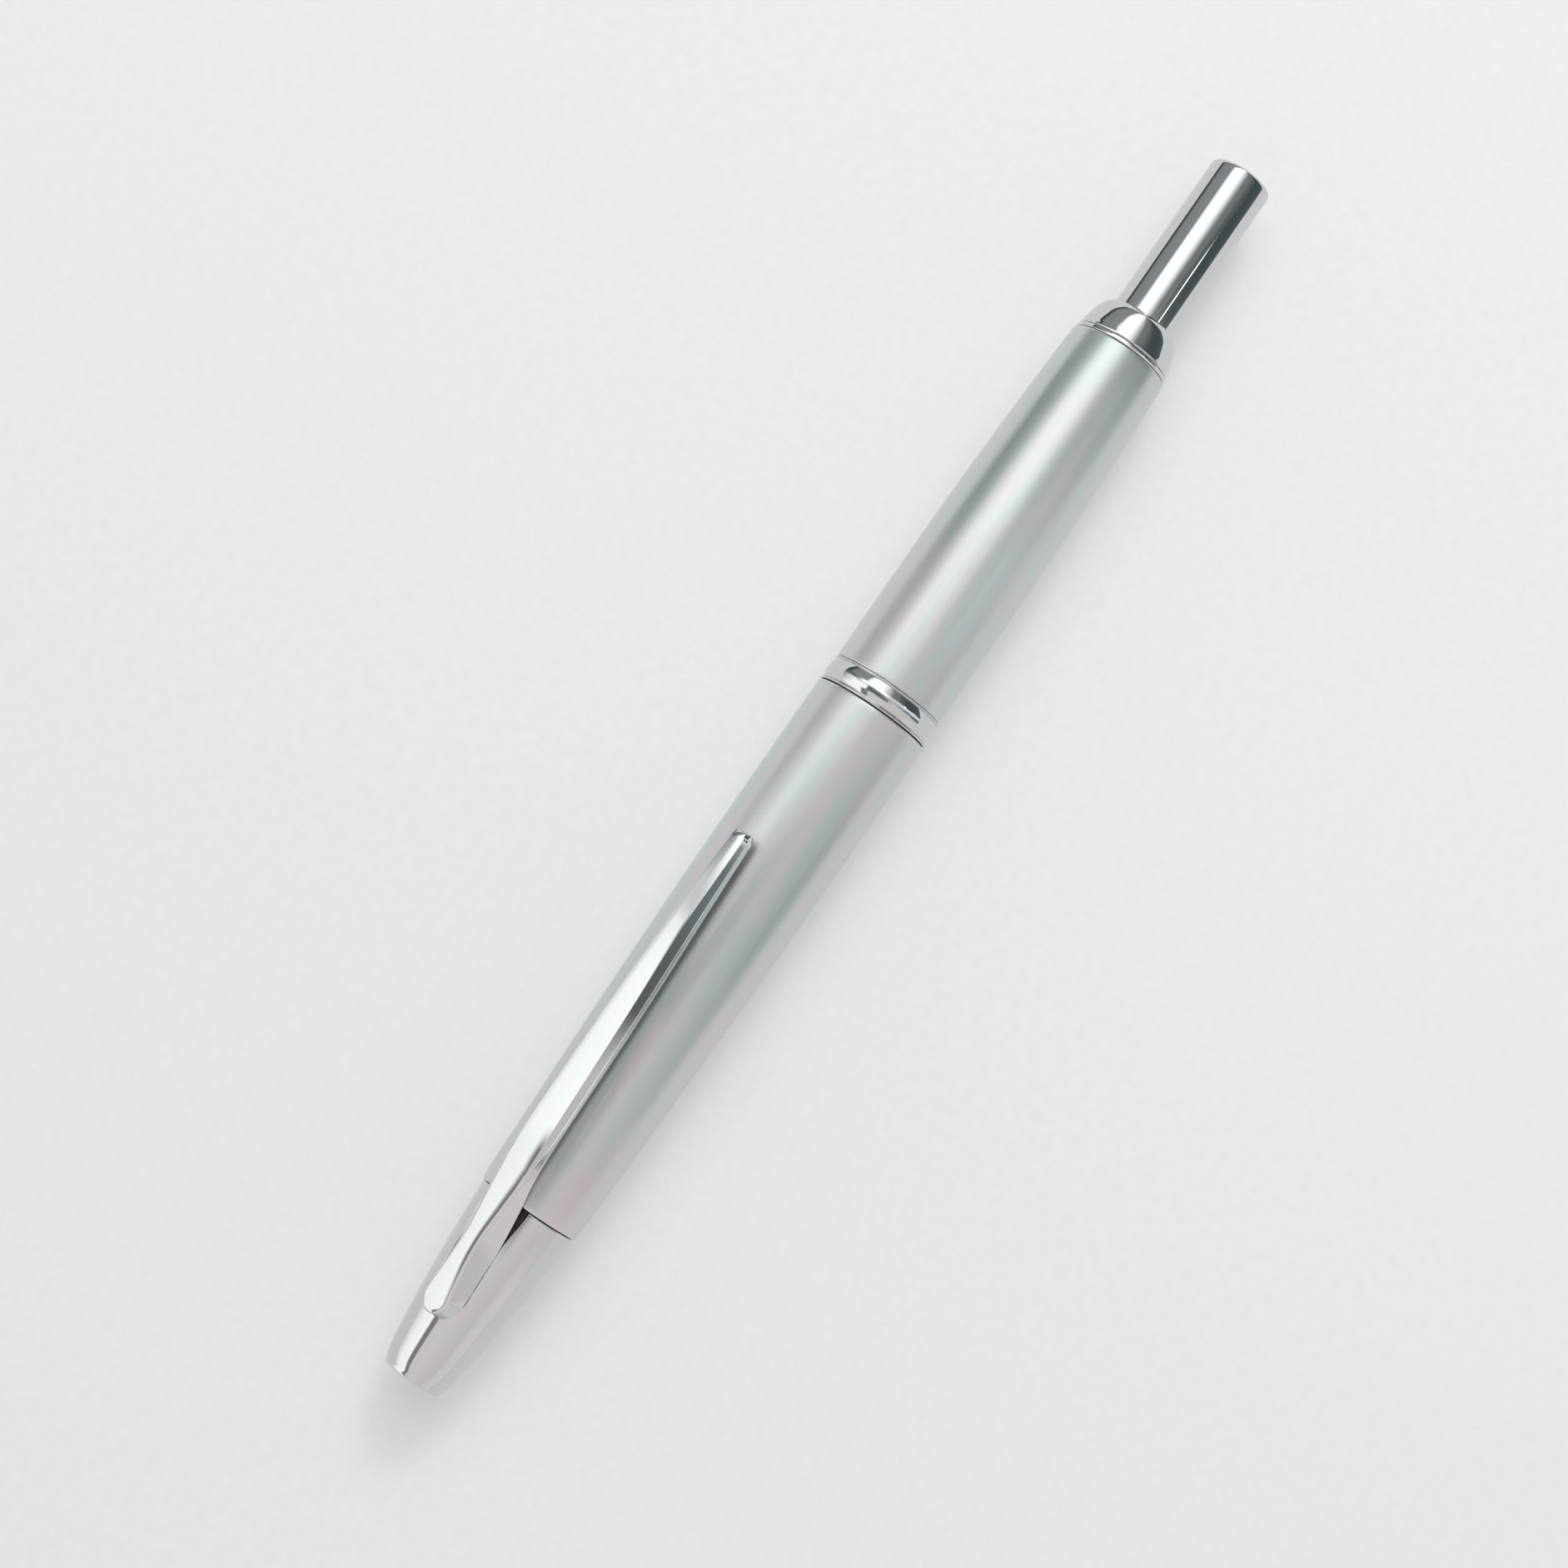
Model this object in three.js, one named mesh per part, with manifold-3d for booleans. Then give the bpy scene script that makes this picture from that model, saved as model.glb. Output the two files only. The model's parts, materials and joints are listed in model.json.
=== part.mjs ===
// Retractable pen: a push knob at the back drives the nib out through a trap door in the nose.
// Millimetres, +Z up. The pen lies on a table along X, nose at -X, with its clip turned towards +Y.
// Inside the pen group, x runs from the nose rim (0) to the knob's end, and +z points at the clip.

import * as THREE from "three";
import { mergeVertices } from "three/addons/utils/BufferGeometryUtils.js";
import Module from "manifold-3d";

const wasm = await Module();
wasm.setup();

// ---- Driving dimensions -------------------------------------------------------------------

const PEN_LENGTH = 140;
const CLIP_ROLL = THREE.MathUtils.degToRad(23.5); // clip's lean from vertical as the pen lies
const OUTER_SIDES = 32; // facets round a casing
const INNER_SIDES = 24; // facets round an inner piece
const FIT = 0.06; // radial gap between fixed pieces

const NOSE_END = 19.15; // seam between nose and front barrel
const NOSE_WALL = 0.28;
const PORT_RADIUS = 2.35; // hole the nib comes out of
const LIP_LENGTH = 1.3;
const FRONT_BARREL_END = 76.1;
const BARREL_BORE = 4.6;
const BAND_START = 76.25;
const BAND_END = 78.85;
const BAND_RADIUS = 6.07;
const SPIGOT_START = 76.75; // the rear barrel's front end, inside the band
const REAR_BARREL_START = 78.95;
const REAR_BARREL_END = 118.3;
const COLLAR_START = 118.85;
const COLLAR_END = 122.4;
const KNOB_RADIUS = 3.28;
const KNOB_FRONT = 113.5;

const LATCH_STROKE = 12.9; // push at which the cam holds the nib out; a full push is 14.8

const SLOT_START = 8; // slot in the nose that the clip sits in
const SLOT_ROUND = 0.9; // length of the slot's narrowing front end
const SLOT_HALF_TIP = 1.35;
const SLOT_HALF_FRONT = 2.3;
const SLOT_HALF_REAR = 2.62;
const ANCHOR_TOP = 4.18;
const FLEX_START = 20.3; // the clip bends behind its root
const FLEX_GAP = 0.3;

const DOOR_HINGE = { x: 6.8, z: 2.65 };
const DOOR_ANGLE = THREE.MathUtils.degToRad(64); // closed door's slope from the pen's axis
const DOOR_THICKNESS = 0.25;
const DOOR_HALF_LENGTH = 2.4;
const DOOR_HALF_WIDTH = 2.2;
const DOOR_CENTRE = 2.85; // from the hinge to the middle of the door
const HINGE_PIN_RADIUS = 0.2;

const NIB_TIP = 6.05;
const NIB_SHEET = 0.22;
const NIB_RADIUS = 1.88;
const NIB_COLLAR_RADIUS = 2.2; // what passes through the port and the trap door's ring
const UNIT_RADIUS = 2.9;
const FLANGE_RADIUS = 3.9;
const COVER_RADIUS = 3.85;
const COVER_STEP = 88; // the cover is slimmer behind this
const COVER_END = 95;

const SLEEVE_BORE = 4.35;
const MALE_THREAD_RADIUS = 4.7;
const FEMALE_THREAD_RADIUS = 4.78;
const SLEEVE_END = 84;

const SPRING_RADIUS = 3.35;
const SPRING_WIRE = 0.2;
const SPRING_TURNS = 10;
const SPRING_START = 21.5;
const SPRING_END = 43.3;

const CAM_COUNT = 3; // cam fins, guide ribs and plunger splines, each
const CAM_START = 95.3;
const CAM_REAR = 101.5;
const CAM_CORE = 3.4;
const FIN_RADIUS = 4.1;
const FIN_START = 97;
const FIN_HALF_ANGLE = THREE.MathUtils.degToRad(4);
const RIB_HALF_ANGLE = THREE.MathUtils.degToRad(3.5);
const RIB_RADIUS = 3.75;
const RIB_FRONT = CAM_REAR - LATCH_STROKE; // the fins rest on these ends when latched
const RIB_REAR = 110;
const GUIDE_BORE = 4.25;
const CROWN_TEETH = 6;
const CROWN_DEPTH = 0.9;

// ---- Materials ----------------------------------------------------------------------------

const finish = (color, metalness, roughness) =>
  new THREE.MeshStandardMaterial({ color, metalness, roughness });
const satin = finish(0xb9bcc0, 0.9, 0.38);
const chrome = finish(0xd9dce0, 1, 0.06);
const rhodium = finish(0xe0e2e4, 1, 0.12);
const brass = finish(0xc5a35a, 1, 0.3);
const steel = finish(0xa8abb0, 1, 0.25);
const blackPlastic = finish(0x141416, 0, 0.45);
const rubber = finish(0x1b1b1d, 0, 0.8);
const inkPlastic = finish(0x2b3a72, 0, 0.25);

// ---- Geometry helpers ---------------------------------------------------------------------

function toSolid(geometry) {
  const bare = geometry.clone();
  bare.deleteAttribute("normal");
  bare.deleteAttribute("uv");
  const merged = mergeVertices(bare, 1e-4);
  return new wasm.Manifold(
    new wasm.Mesh({
      numProp: 3,
      vertProperties: merged.attributes.position.array,
      triVerts: new Uint32Array(merged.index.array),
    }),
  );
}

function toGeometry(solid) {
  const mesh = solid.getMesh();
  const geometry = new THREE.BufferGeometry();
  geometry.setAttribute("position", new THREE.BufferAttribute(mesh.vertProperties, 3));
  geometry.setIndex(new THREE.BufferAttribute(mesh.triVerts, 1));
  const flat = geometry.toNonIndexed();
  flat.computeVertexNormals();
  return flat;
}

// Joins the base and every piece of add, then takes every piece of cut away.
function shape(base, { add = [], cut = [] } = {}) {
  let solid = toSolid(base);
  for (const piece of add) solid = solid.add(toSolid(piece));
  for (const piece of cut) solid = solid.subtract(toSolid(piece));
  return toGeometry(solid);
}

function common(a, b) {
  return toGeometry(toSolid(a).intersect(toSolid(b)));
}

// A turned piece about the pen's axis. The profile's points are [x, radius], clockwise.
function turned(profile, sides = OUTER_SIDES) {
  const points = profile.map(([x, r]) => new THREE.Vector2(r, x));
  const phase = CLIP_ROLL - Math.PI / sides; // puts a facet flat on the table
  return new THREE.LatheGeometry(points, sides, phase).rotateZ(-Math.PI / 2);
}

// A turned piece with a hole through it: outer points front to rear, inner ones front to rear.
function turnedTube(outer, inner, sides = OUTER_SIDES) {
  return turned([...outer, ...[...inner].reverse(), outer[0]], sides);
}

function ring(start, end, innerRadius, outerRadius, sides = INNER_SIDES) {
  return turnedTube(
    [[start, outerRadius], [end, outerRadius]],
    [[start, innerRadius], [end, innerRadius]],
    sides,
  );
}

function block(x0, x1, halfWidth, z0, z1, y = 0) {
  const box = new THREE.BoxGeometry(x1 - x0, 2 * halfWidth, z1 - z0);
  return box.translate((x0 + x1) / 2, y, (z0 + z1) / 2);
}

function crosswisePin(x, z, radius, halfLength, y = 0, sides = 12) {
  return new THREE.CylinderGeometry(radius, radius, 2 * halfLength, sides).translate(x, y, z);
}

// Extrudes a plan outline, drawn in x and y, upwards from z0 to z1.
function fromPlan(points, z0, z1) {
  const outline = new THREE.Shape(points);
  const settings = { depth: z1 - z0, bevelEnabled: false };
  return new THREE.ExtrudeGeometry(outline, settings).translate(0, 0, z0);
}

// A wedge about the pen's axis: a fin, rib or spline that stands out or in from a round wall.
function keyWedge(x0, x1, innerRadius, outerRadius, halfAngle, angle) {
  const half = outerRadius * Math.tan(halfAngle);
  return block(x0, x1, half, innerRadius, outerRadius).rotateX(angle);
}

function around(count, offset, make) {
  return Array.from({ length: count }, (_, i) => make(offset + (i * 2 * Math.PI) / count));
}

class Helix extends THREE.Curve {
  constructor(radius, start, end, turns, alongY = false) {
    super();
    Object.assign(this, { radius, start, end, turns, alongY });
  }

  getPoint(t, target = new THREE.Vector3()) {
    const angle = 2 * Math.PI * this.turns * t;
    const along = this.start + (this.end - this.start) * t;
    const a = this.radius * Math.cos(angle);
    const b = this.radius * Math.sin(angle);
    return this.alongY ? target.set(b, along, a) : target.set(along, b, a);
  }
}

function coil(helix, wireRadius, stepsPerTurn, sides = 6) {
  const section = new THREE.Shape(
    Array.from({ length: sides }, (_, i) => {
      const angle = (2 * Math.PI * i) / sides;
      return new THREE.Vector2(wireRadius * Math.cos(angle), wireRadius * Math.sin(angle));
    }),
  );
  const steps = Math.round(helix.turns * stepsPerTurn);
  return new THREE.ExtrudeGeometry(section, { steps, extrudePath: helix, bevelEnabled: false });
}

// ---- Front section ------------------------------------------------------------------------

const NOSE_OUTLINE = [
  [0.25, 2.98], [2, 3.55], [6.7, 4.15], [12.9, 4.7], [NOSE_END - 0.12, 5.08], [NOSE_END, 4.98],
];

function noseCone() {
  const outer = [[0, 2.72], ...NOSE_OUTLINE];
  const inner = [
    [0, PORT_RADIUS], [LIP_LENGTH, PORT_RADIUS], [LIP_LENGTH, 3.04],
    [2, 3.55 - NOSE_WALL], [6.7, 4.15 - NOSE_WALL], [12.9, 4.4], [NOSE_END, 4.6],
  ];
  const near = [
    new THREE.Vector2(SLOT_START, -SLOT_HALF_TIP),
    new THREE.Vector2(SLOT_START + SLOT_ROUND, -SLOT_HALF_FRONT),
    new THREE.Vector2(NOSE_END + 1, -SLOT_HALF_REAR),
  ];
  const far = near.map(({ x, y }) => new THREE.Vector2(x, -y)).reverse();
  const slot = fromPlan([...near, ...far], 3, 6);
  return shape(turnedTube(outer, inner), { cut: [slot] });
}

function frontBarrel() {
  const outer = [
    [NOSE_END + 0.1, 5.1], [NOSE_END + 0.25, 5.2], [20.6, 5.3], [23, 5.38], [27, 5.46],
    [31, 5.59], [38.8, 5.76], [46.6, 5.9], [54.6, 5.97], [62.6, 6], [FRONT_BARREL_END - 0.15, 5.96],
    [FRONT_BARREL_END, 5.82],
  ];
  const inner = [
    [NOSE_END + 0.1, BARREL_BORE], [61.5, BARREL_BORE], [61.5, 5.15], [FRONT_BARREL_END, 5.15],
  ];
  return turnedTube(outer, inner);
}

// Joins the nose to the front barrel from inside.
function jointSleeve() {
  const inBarrel = BARREL_BORE - 0.1;
  const outer = [[14.6, 4.2], [NOSE_END, 4.2], [NOSE_END + 0.2, inBarrel], [26, inBarrel]];
  return turnedTube(outer, [[14.6, 3.75], [26, 3.75]]);
}

function threadSleeve() {
  const outer = [
    [61.6, 5.15 - FIT], [75.6, 5.15 - FIT], [75.9, MALE_THREAD_RADIUS],
    [SLEEVE_END - 0.3, MALE_THREAD_RADIUS], [SLEEVE_END, MALE_THREAD_RADIUS - 0.3],
  ];
  return turnedTube(outer, [[61.6, SLEEVE_BORE], [SLEEVE_END, SLEEVE_BORE]]);
}

// Ring behind the trap door, with two ears that hold its hinge pin.
function shutterFrame() {
  const body = ring(7.4, 8.8, 2.45, 3.78);
  const ears = [-1, 1].map((side) => block(6.45, 7.5, 0.2, 2.35, 3.05, side * 1.35));
  const pinHole = crosswisePin(DOOR_HINGE.x, DOOR_HINGE.z, HINGE_PIN_RADIUS + 0.05, 2);
  return shape(body, { add: ears, cut: [pinHole] });
}

function shutterPin() {
  return crosswisePin(DOOR_HINGE.x, DOOR_HINGE.z, HINGE_PIN_RADIUS, 1.5);
}

// Drawn flat with the hinge at the origin, then turned to its closed slope.
function shutterDoor() {
  const plateOutline = new THREE.Shape();
  plateOutline.absellipse(-DOOR_CENTRE, 0, DOOR_HALF_LENGTH, DOOR_HALF_WIDTH, 0, 2 * Math.PI);
  const settings = { depth: DOOR_THICKNESS, bevelEnabled: false, curveSegments: 12 };
  const plate = new THREE.ExtrudeGeometry(plateOutline, settings).translate(0, 0, -DOOR_THICKNESS / 2);
  const tab = block(-0.9, -0.3, 0.5, -DOOR_THICKNESS / 2 - 0.05, DOOR_THICKNESS / 2 + 0.05);
  const knuckle = crosswisePin(0, 0, 0.42, 0.55);
  const pinHole = crosswisePin(0, 0, HINGE_PIN_RADIUS + 0.06, 1);
  return shape(plate, { add: [tab, knuckle], cut: [pinHole] });
}

function shutterSpring() {
  return coil(new Helix(0.34, -1.05, -0.68, 2.5, true), 0.06, 10);
}

// Block inside the nose that the clip's root is fixed to.
function clipAnchor() {
  return shape(block(9.4, 14.2, 1.2, 2.9, ANCHOR_TOP), { cut: [ring(9, 14.6, 0.5, 3.2)] });
}

// ---- Clip ---------------------------------------------------------------------------------

// Sections of the clip along the pen: [x, then half width and height of the top's edge, of the
// line where the flank meets the lip, and of the foot].
const CLIP_SECTIONS = [
  [6.4, 0.2, 5, 0.35, 4.75, 0.5, 4.14],
  [6.6, 0.5, 5.22, 0.7, 4.9, 1.2, 4.02],
  [7.1, 0.87, 5.3, 1.07, 4.98, 1.68, 3.9],
  [7.5, 1.08, 5.4, 1.28, 5.05, 1.85, 3.87],
  [7.9, 1.17, 5.52, 1.37, 5.15, 1.98, 3.84],
  [8.6, 1.16, 5.64, 1.36, 5.22, 2.1, 3.85],
  [8.88, 1.13, 5.68, 1.33, 5.26, 2.12, 3.87],
  [9.4, 1.09, 5.76, 1.29, 5.36, 2.14, 3.62],
  [11, 0.92, 6.03, 1.12, 5.56, 2.14, 3.78],
  [12.5, 0.81, 6.24, 1.01, 5.78, 2.14, 4.05],
  [14.1, 0.75, 6.4, 0.94, 5.94, 2.13, 4.4],
  [15.6, 0.79, 6.55, 0.99, 6.16, 2.12, 4.82],
  [17.2, 0.92, 6.71, 1.12, 6.34, 2.1, 5.25],
  [18.7, 1.08, 6.84, 1.28, 6.48, 2.08, 5.56],
  [20.2, 1.22, 6.98, 1.41, 6.56, 2.02, 5.88],
  [21.9, 1.3, 7.2, 1.53, 6.72, 2, 6.24],
  [23.4, 1.33, 7.42, 1.6, 6.84, 1.99, 6.46],
  [26.5, 1.34, 7.7, 1.69, 6.95, 1.98, 6.65],
  [31.2, 1.28, 7.95, 1.67, 7.08, 1.96, 6.79],
  [39, 1.14, 8.3, 1.58, 7.36, 1.9, 7.03],
  [46.7, 0.92, 8.6, 1.36, 7.6, 1.72, 7.26],
  [50.2, 0.83, 8.63, 1.26, 7.68, 1.59, 7.35],
  [54.4, 0.78, 8.48, 1.1, 7.7, 1.43, 7.38],
  [57.6, 0.71, 8.32, 0.98, 7.68, 1.31, 7.35],
  [58.95, 0.63, 8.22, 0.87, 7.65, 1.2, 7.33],
  [59.5, 0.35, 7.75, 0.5, 7.6, 0.85, 7.33],
];
const CLIP_CROWN = 0.08; // rise of the middle of the top above its edges
const CLIP_FOOT_EDGE = 0.12; // upright part of the flank above the foot
const CONTACT_PAD = { x0: 56.8, x1: 58, halfWidth: 0.5, z0: 6.08, z1: 7.6 };

// Height between two of an outline's points.
function heightOn(outline, x) {
  const i = outline.findIndex(([end]) => x <= end);
  const [[x0, r0], [x1, r1]] = [outline[i - 1], outline[i]];
  return r0 + ((r1 - r0) * (x - x0)) / (x1 - x0);
}

// Underside of the clip: it sits on the nose in front of the slot, and on its anchor in the slot.
function clipUnderside(x, y, footHeight) {
  if (x > SLOT_START + SLOT_ROUND) return Math.max(footHeight, ANCHOR_TOP + 0.2);
  return Math.sqrt((heightOn(NOSE_OUTLINE, x) + 0.08) ** 2 - y ** 2);
}

// Joins closed sections with the same number of points, and closes both ends.
function lofted(sections) {
  const count = sections[0].length;
  const positions = sections.flat(2);
  const last = (sections.length - 1) * count;
  const faces = [];
  for (let i = 0; i < last; i += count) {
    for (let k = 0; k < count; k++) {
      const next = (k + 1) % count;
      faces.push(i + k, i + count + k, i + next, i + next, i + count + k, i + count + next);
    }
  }
  for (let k = 1; k < count - 1; k++) {
    faces.push(0, k, k + 1, last, last + k + 1, last + k);
  }
  const geometry = new THREE.BufferGeometry();
  geometry.setAttribute("position", new THREE.Float32BufferAttribute(positions, 3));
  geometry.setIndex(faces);
  return geometry;
}

function wholeClip() {
  const sections = CLIP_SECTIONS.map(([x, topHalf, top, lipHalf, lip, footHalf, foot]) => {
    const middle = clipUnderside(x, footHalf / 2, foot);
    const half = [
      [topHalf / 2, top + CLIP_CROWN * 0.8], [topHalf, top], [lipHalf, lip],
      [footHalf, foot + CLIP_FOOT_EDGE], [footHalf, foot], [footHalf / 2, middle],
    ];
    const right = half.map(([y, z]) => [x, y, z]);
    const left = half.map(([y, z]) => [x, -y, z]).reverse();
    return [[x, 0, top + CLIP_CROWN], ...right, [x, 0, clipUnderside(x, 0, foot)], ...left];
  });
  const { x0, x1, halfWidth, z0, z1 } = CONTACT_PAD;
  return shape(lofted(sections), { add: [block(x0, x1, halfWidth, z0, z1)] });
}

function clipRoot() {
  return common(wholeClip(), block(0, FLEX_START, 4, 0, 12));
}

function clipArm() {
  return common(wholeClip(), block(FLEX_START + FLEX_GAP, PEN_LENGTH, 4, 0, 12));
}

// ---- Nib unit -----------------------------------------------------------------------------

// A sheet rolled over the feed: the upper half of a tapered shell.
function nib() {
  const outer = [
    [NIB_TIP, 0], [NIB_TIP + 0.05, 0.2], [7.5, 0.75], [9.5, 1.25], [12, 1.7],
    [14, NIB_RADIUS], [20, NIB_RADIUS],
  ];
  const inner = [
    [20, NIB_RADIUS - NIB_SHEET], [14, NIB_RADIUS - NIB_SHEET], [12, 1.7 - NIB_SHEET],
    [9.5, 1.25 - NIB_SHEET], [7.9, 0.55], [7.2, 0],
  ];
  const shell = turned([...outer, ...inner], INNER_SIDES);
  const upperHalf = common(shell, block(0, 30, 4, 0, 4));
  const breatherHole = new THREE.CylinderGeometry(0.35, 0.35, 3, 12).rotateX(Math.PI / 2);
  return shape(upperHalf, { cut: [breatherHole.translate(12.6, 0, 2)] });
}

// Finned feed under the nib.
function feed() {
  const gap = NIB_SHEET + 0.08;
  const body = turned(
    [
      [7.9, 0], [8.1, 0.3], [9.5, 1.25 - gap], [12, 1.7 - gap], [14, NIB_RADIUS - gap],
      [23, NIB_RADIUS - gap], [23, 0],
    ],
    INNER_SIDES,
  );
  const grooves = Array.from({ length: 5 }, (_, i) => block(11 + i * 0.8, 11.3 + i * 0.8, 3, -3, -0.7));
  return shape(body, { cut: grooves });
}

function nibCollar() {
  const outer = [
    [15.5, NIB_COLLAR_RADIUS - 0.1], [15.7, NIB_COLLAR_RADIUS], [23.9, NIB_COLLAR_RADIUS],
    [24.6, UNIT_RADIUS], [27, UNIT_RADIUS],
  ];
  return turnedTube(outer, [[15.5, NIB_RADIUS + FIT], [27, NIB_RADIUS + FIT]], INNER_SIDES);
}

// Metal body that the collar screws on, with the flange the return spring pushes and the
// spigot that pierces the cartridge.
function unitBody() {
  const outer = [
    [27.3, UNIT_RADIUS], [43.6, UNIT_RADIUS], [43.6, FLANGE_RADIUS], [45.4, FLANGE_RADIUS],
    [45.4, 1.1], [48, 1.1],
  ];
  return turnedTube(outer, [[27.3, 0.6], [48, 0.6]], INNER_SIDES);
}

function inkCartridge() {
  const outer = [
    [46.2, 1.9], [49, 1.9], [50, 3.3], [86.2, 3.3], [COVER_STEP - 0.6, 2.8], [91.5, 2.8], [91.5, 0],
  ];
  const inner = [
    [90.9, 0], [90.9, 2.4], [86.8, 2.4], [85.8, 2.9], [50.4, 2.9], [49.4, 1.25], [46.2, 1.25], [46.2, 1.9],
  ];
  return turned([...outer, ...inner], INNER_SIDES);
}

// Metal cover over the cartridge. Its rear end is slimmer, to pass between the guide's ribs.
function cartridgeCover() {
  const wall = 0.4;
  const slim = RIB_RADIUS - 0.2;
  const outer = [
    [45.8, COVER_RADIUS], [COVER_STEP - 0.4, COVER_RADIUS], [COVER_STEP, slim],
    [COVER_END - 0.5, slim], [COVER_END, slim - 0.5], [COVER_END, 0],
  ];
  const inner = [
    [COVER_END - 0.8, 0], [COVER_END - 0.8, slim - wall], [COVER_STEP - 0.3, slim - wall],
    [COVER_STEP - 0.7, COVER_RADIUS - wall], [45.8, COVER_RADIUS - wall], [45.8, COVER_RADIUS],
  ];
  return turned([...outer, ...inner], INNER_SIDES);
}

// ---- Rear section -------------------------------------------------------------------------

// Seals the joint between the two barrels, inside the band.
function barrelWasher() {
  return ring(FRONT_BARREL_END + 0.07, SPIGOT_START - 0.18, 4.85, 5.5, OUTER_SIDES);
}

// Chrome band, crowned between two thin raised edges.
function centreBand() {
  const edge = 0.32;
  const outer = [
    [BAND_START, 5.8], [BAND_START + 0.1, BAND_RADIUS], [BAND_START + edge, BAND_RADIUS],
    [BAND_START + edge + 0.08, 5.9], [BAND_START + 0.9, 6.02], [BAND_END - 0.9, 6.02],
    [BAND_END - edge - 0.08, 5.9], [BAND_END - edge, 5.98], [BAND_END - 0.1, 5.98], [BAND_END, 5.8],
  ];
  return turnedTube(outer, [[BAND_START, 5.62], [BAND_END, 5.62]]);
}

function rearBarrel() {
  const outer = [
    [SPIGOT_START, 5.56], [REAR_BARREL_START, 5.56], [REAR_BARREL_START, 5.75],
    [REAR_BARREL_START + 0.15, 5.83], [94.7, 5.83], [98.7, 5.8], [102.8, 5.69], [106.8, 5.58],
    [110.9, 5.47], [115, 5.32], [REAR_BARREL_END - 0.8, 5.2], [REAR_BARREL_END - 0.15, 5.14],
    [REAR_BARREL_END, 5.02],
  ];
  const inner = [
    [SPIGOT_START, 5.24], [98, 5.24], [104, 5.1], [108, 4.95], [113, 4.72], [REAR_BARREL_END, 4.72],
  ];
  return turnedTube(outer, inner);
}

function trimRing() {
  return turnedTube(
    [
      [REAR_BARREL_END + 0.06, 4.95], [REAR_BARREL_END + 0.16, 5.03], [COLLAR_START - 0.17, 5.03],
      [COLLAR_START - 0.07, 4.95],
    ],
    [[REAR_BARREL_END + 0.06, 4.7], [COLLAR_START - 0.07, 4.7]],
  );
}

function rearCollar() {
  const outer = [
    [113.8, 4.63], [COLLAR_START, 4.63], [COLLAR_START, 4.88], [COLLAR_START + 0.15, 4.96],
    [120, 4.8], [121.1, 4.54], [121.8, 4.27], [122.15, 4.03], [COLLAR_END - 0.08, 3.75],
    [COLLAR_END, 3.5],
  ];
  return turnedTube(outer, [[113.8, 4.05], [121, 4.05], [121, 3.4], [COLLAR_END, 3.4]]);
}

// Fixed sleeve of the click mechanism. The cam's fins and the plunger's splines slide between
// its ribs, and the fins turn on to the ribs' front ends to hold the nib out.
function camGuide() {
  const ribs = around(CAM_COUNT, Math.PI / CAM_COUNT, (angle) =>
    keyWedge(RIB_FRONT, RIB_REAR, RIB_RADIUS, GUIDE_BORE + 0.2, RIB_HALF_ANGLE, angle),
  );
  return shape(ring(86, 113.5, GUIDE_BORE, 4.62), { add: ribs });
}

// A round end face cut into a ring of teeth.
function crownNotches(faceX, depth, count, offset) {
  const halfNotch = Math.PI / count;
  const reach = 5;
  return around(count, offset, (angle) => {
    const half = 3.5 * Math.tan(halfNotch) * 0.9;
    const notch = new THREE.Shape([
      new THREE.Vector2(faceX - Math.sign(depth) * 0.2, -half),
      new THREE.Vector2(faceX - Math.sign(depth) * 0.2, half),
      new THREE.Vector2(faceX + depth, 0),
    ]);
    const prism = new THREE.ExtrudeGeometry(notch, { depth: reach, bevelEnabled: false });
    return prism.translate(0, 0, 1.4).rotateX(angle);
  });
}

function rotaryCam() {
  const core = ring(CAM_START, CAM_REAR, 1.3, CAM_CORE);
  const fins = around(CAM_COUNT, 0, (angle) =>
    keyWedge(FIN_START, CAM_REAR - 0.01, CAM_CORE - 0.5, FIN_RADIUS, FIN_HALF_ANGLE, angle),
  );
  const notches = crownNotches(CAM_REAR, -CROWN_DEPTH, CROWN_TEETH, Math.PI / CROWN_TEETH);
  return shape(core, { add: fins, cut: notches });
}

function plunger() {
  const front = CAM_REAR + 0.4;
  const rear = KNOB_FRONT - 0.3;
  const body = turnedTube(
    [[front, 3.5], [rear, 3.5], [rear, 2.3], [118, 2.3]],
    [[front, 1.3], [118, 1.3]],
    INNER_SIDES,
  );
  const splines = around(CAM_COUNT, 0, (angle) =>
    keyWedge(rear - 6, rear, 3, FIN_RADIUS, FIN_HALF_ANGLE, angle),
  );
  const notches = crownNotches(front, CROWN_DEPTH, CROWN_TEETH, 0);
  return shape(body, { add: splines, cut: notches });
}

function knobBush() {
  return ring(113.9, 120.8, KNOB_RADIUS + 0.08, 3.97, OUTER_SIDES);
}

// Push knob: a tube closed by a gently domed end with a rounded rim.
function knob() {
  const rim = 0.6;
  const dome = 0.25;
  const arcSteps = 4;
  const corner = Array.from({ length: arcSteps + 1 }, (_, i) => {
    const angle = (i / arcSteps) * (Math.PI / 2);
    return [
      PEN_LENGTH - dome - rim + rim * Math.sin(angle),
      KNOB_RADIUS - rim + rim * Math.cos(angle),
    ];
  });
  const outer = [[KNOB_FRONT, KNOB_RADIUS - 0.1], [KNOB_FRONT + 0.1, KNOB_RADIUS], ...corner];
  const inner = [[PEN_LENGTH - 3, 0], [PEN_LENGTH - 3.4, 2.36], [KNOB_FRONT, 2.36]];
  return turned([...outer, [PEN_LENGTH, 0], ...inner, outer[0]]);
}

// ---- Assembly -----------------------------------------------------------------------------

function piece(name, geometry, material) {
  const mesh = new THREE.Mesh(geometry, material);
  mesh.name = name;
  return mesh;
}

function group(...members) {
  const made = new THREE.Group();
  made.add(...members);
  return made;
}

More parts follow.
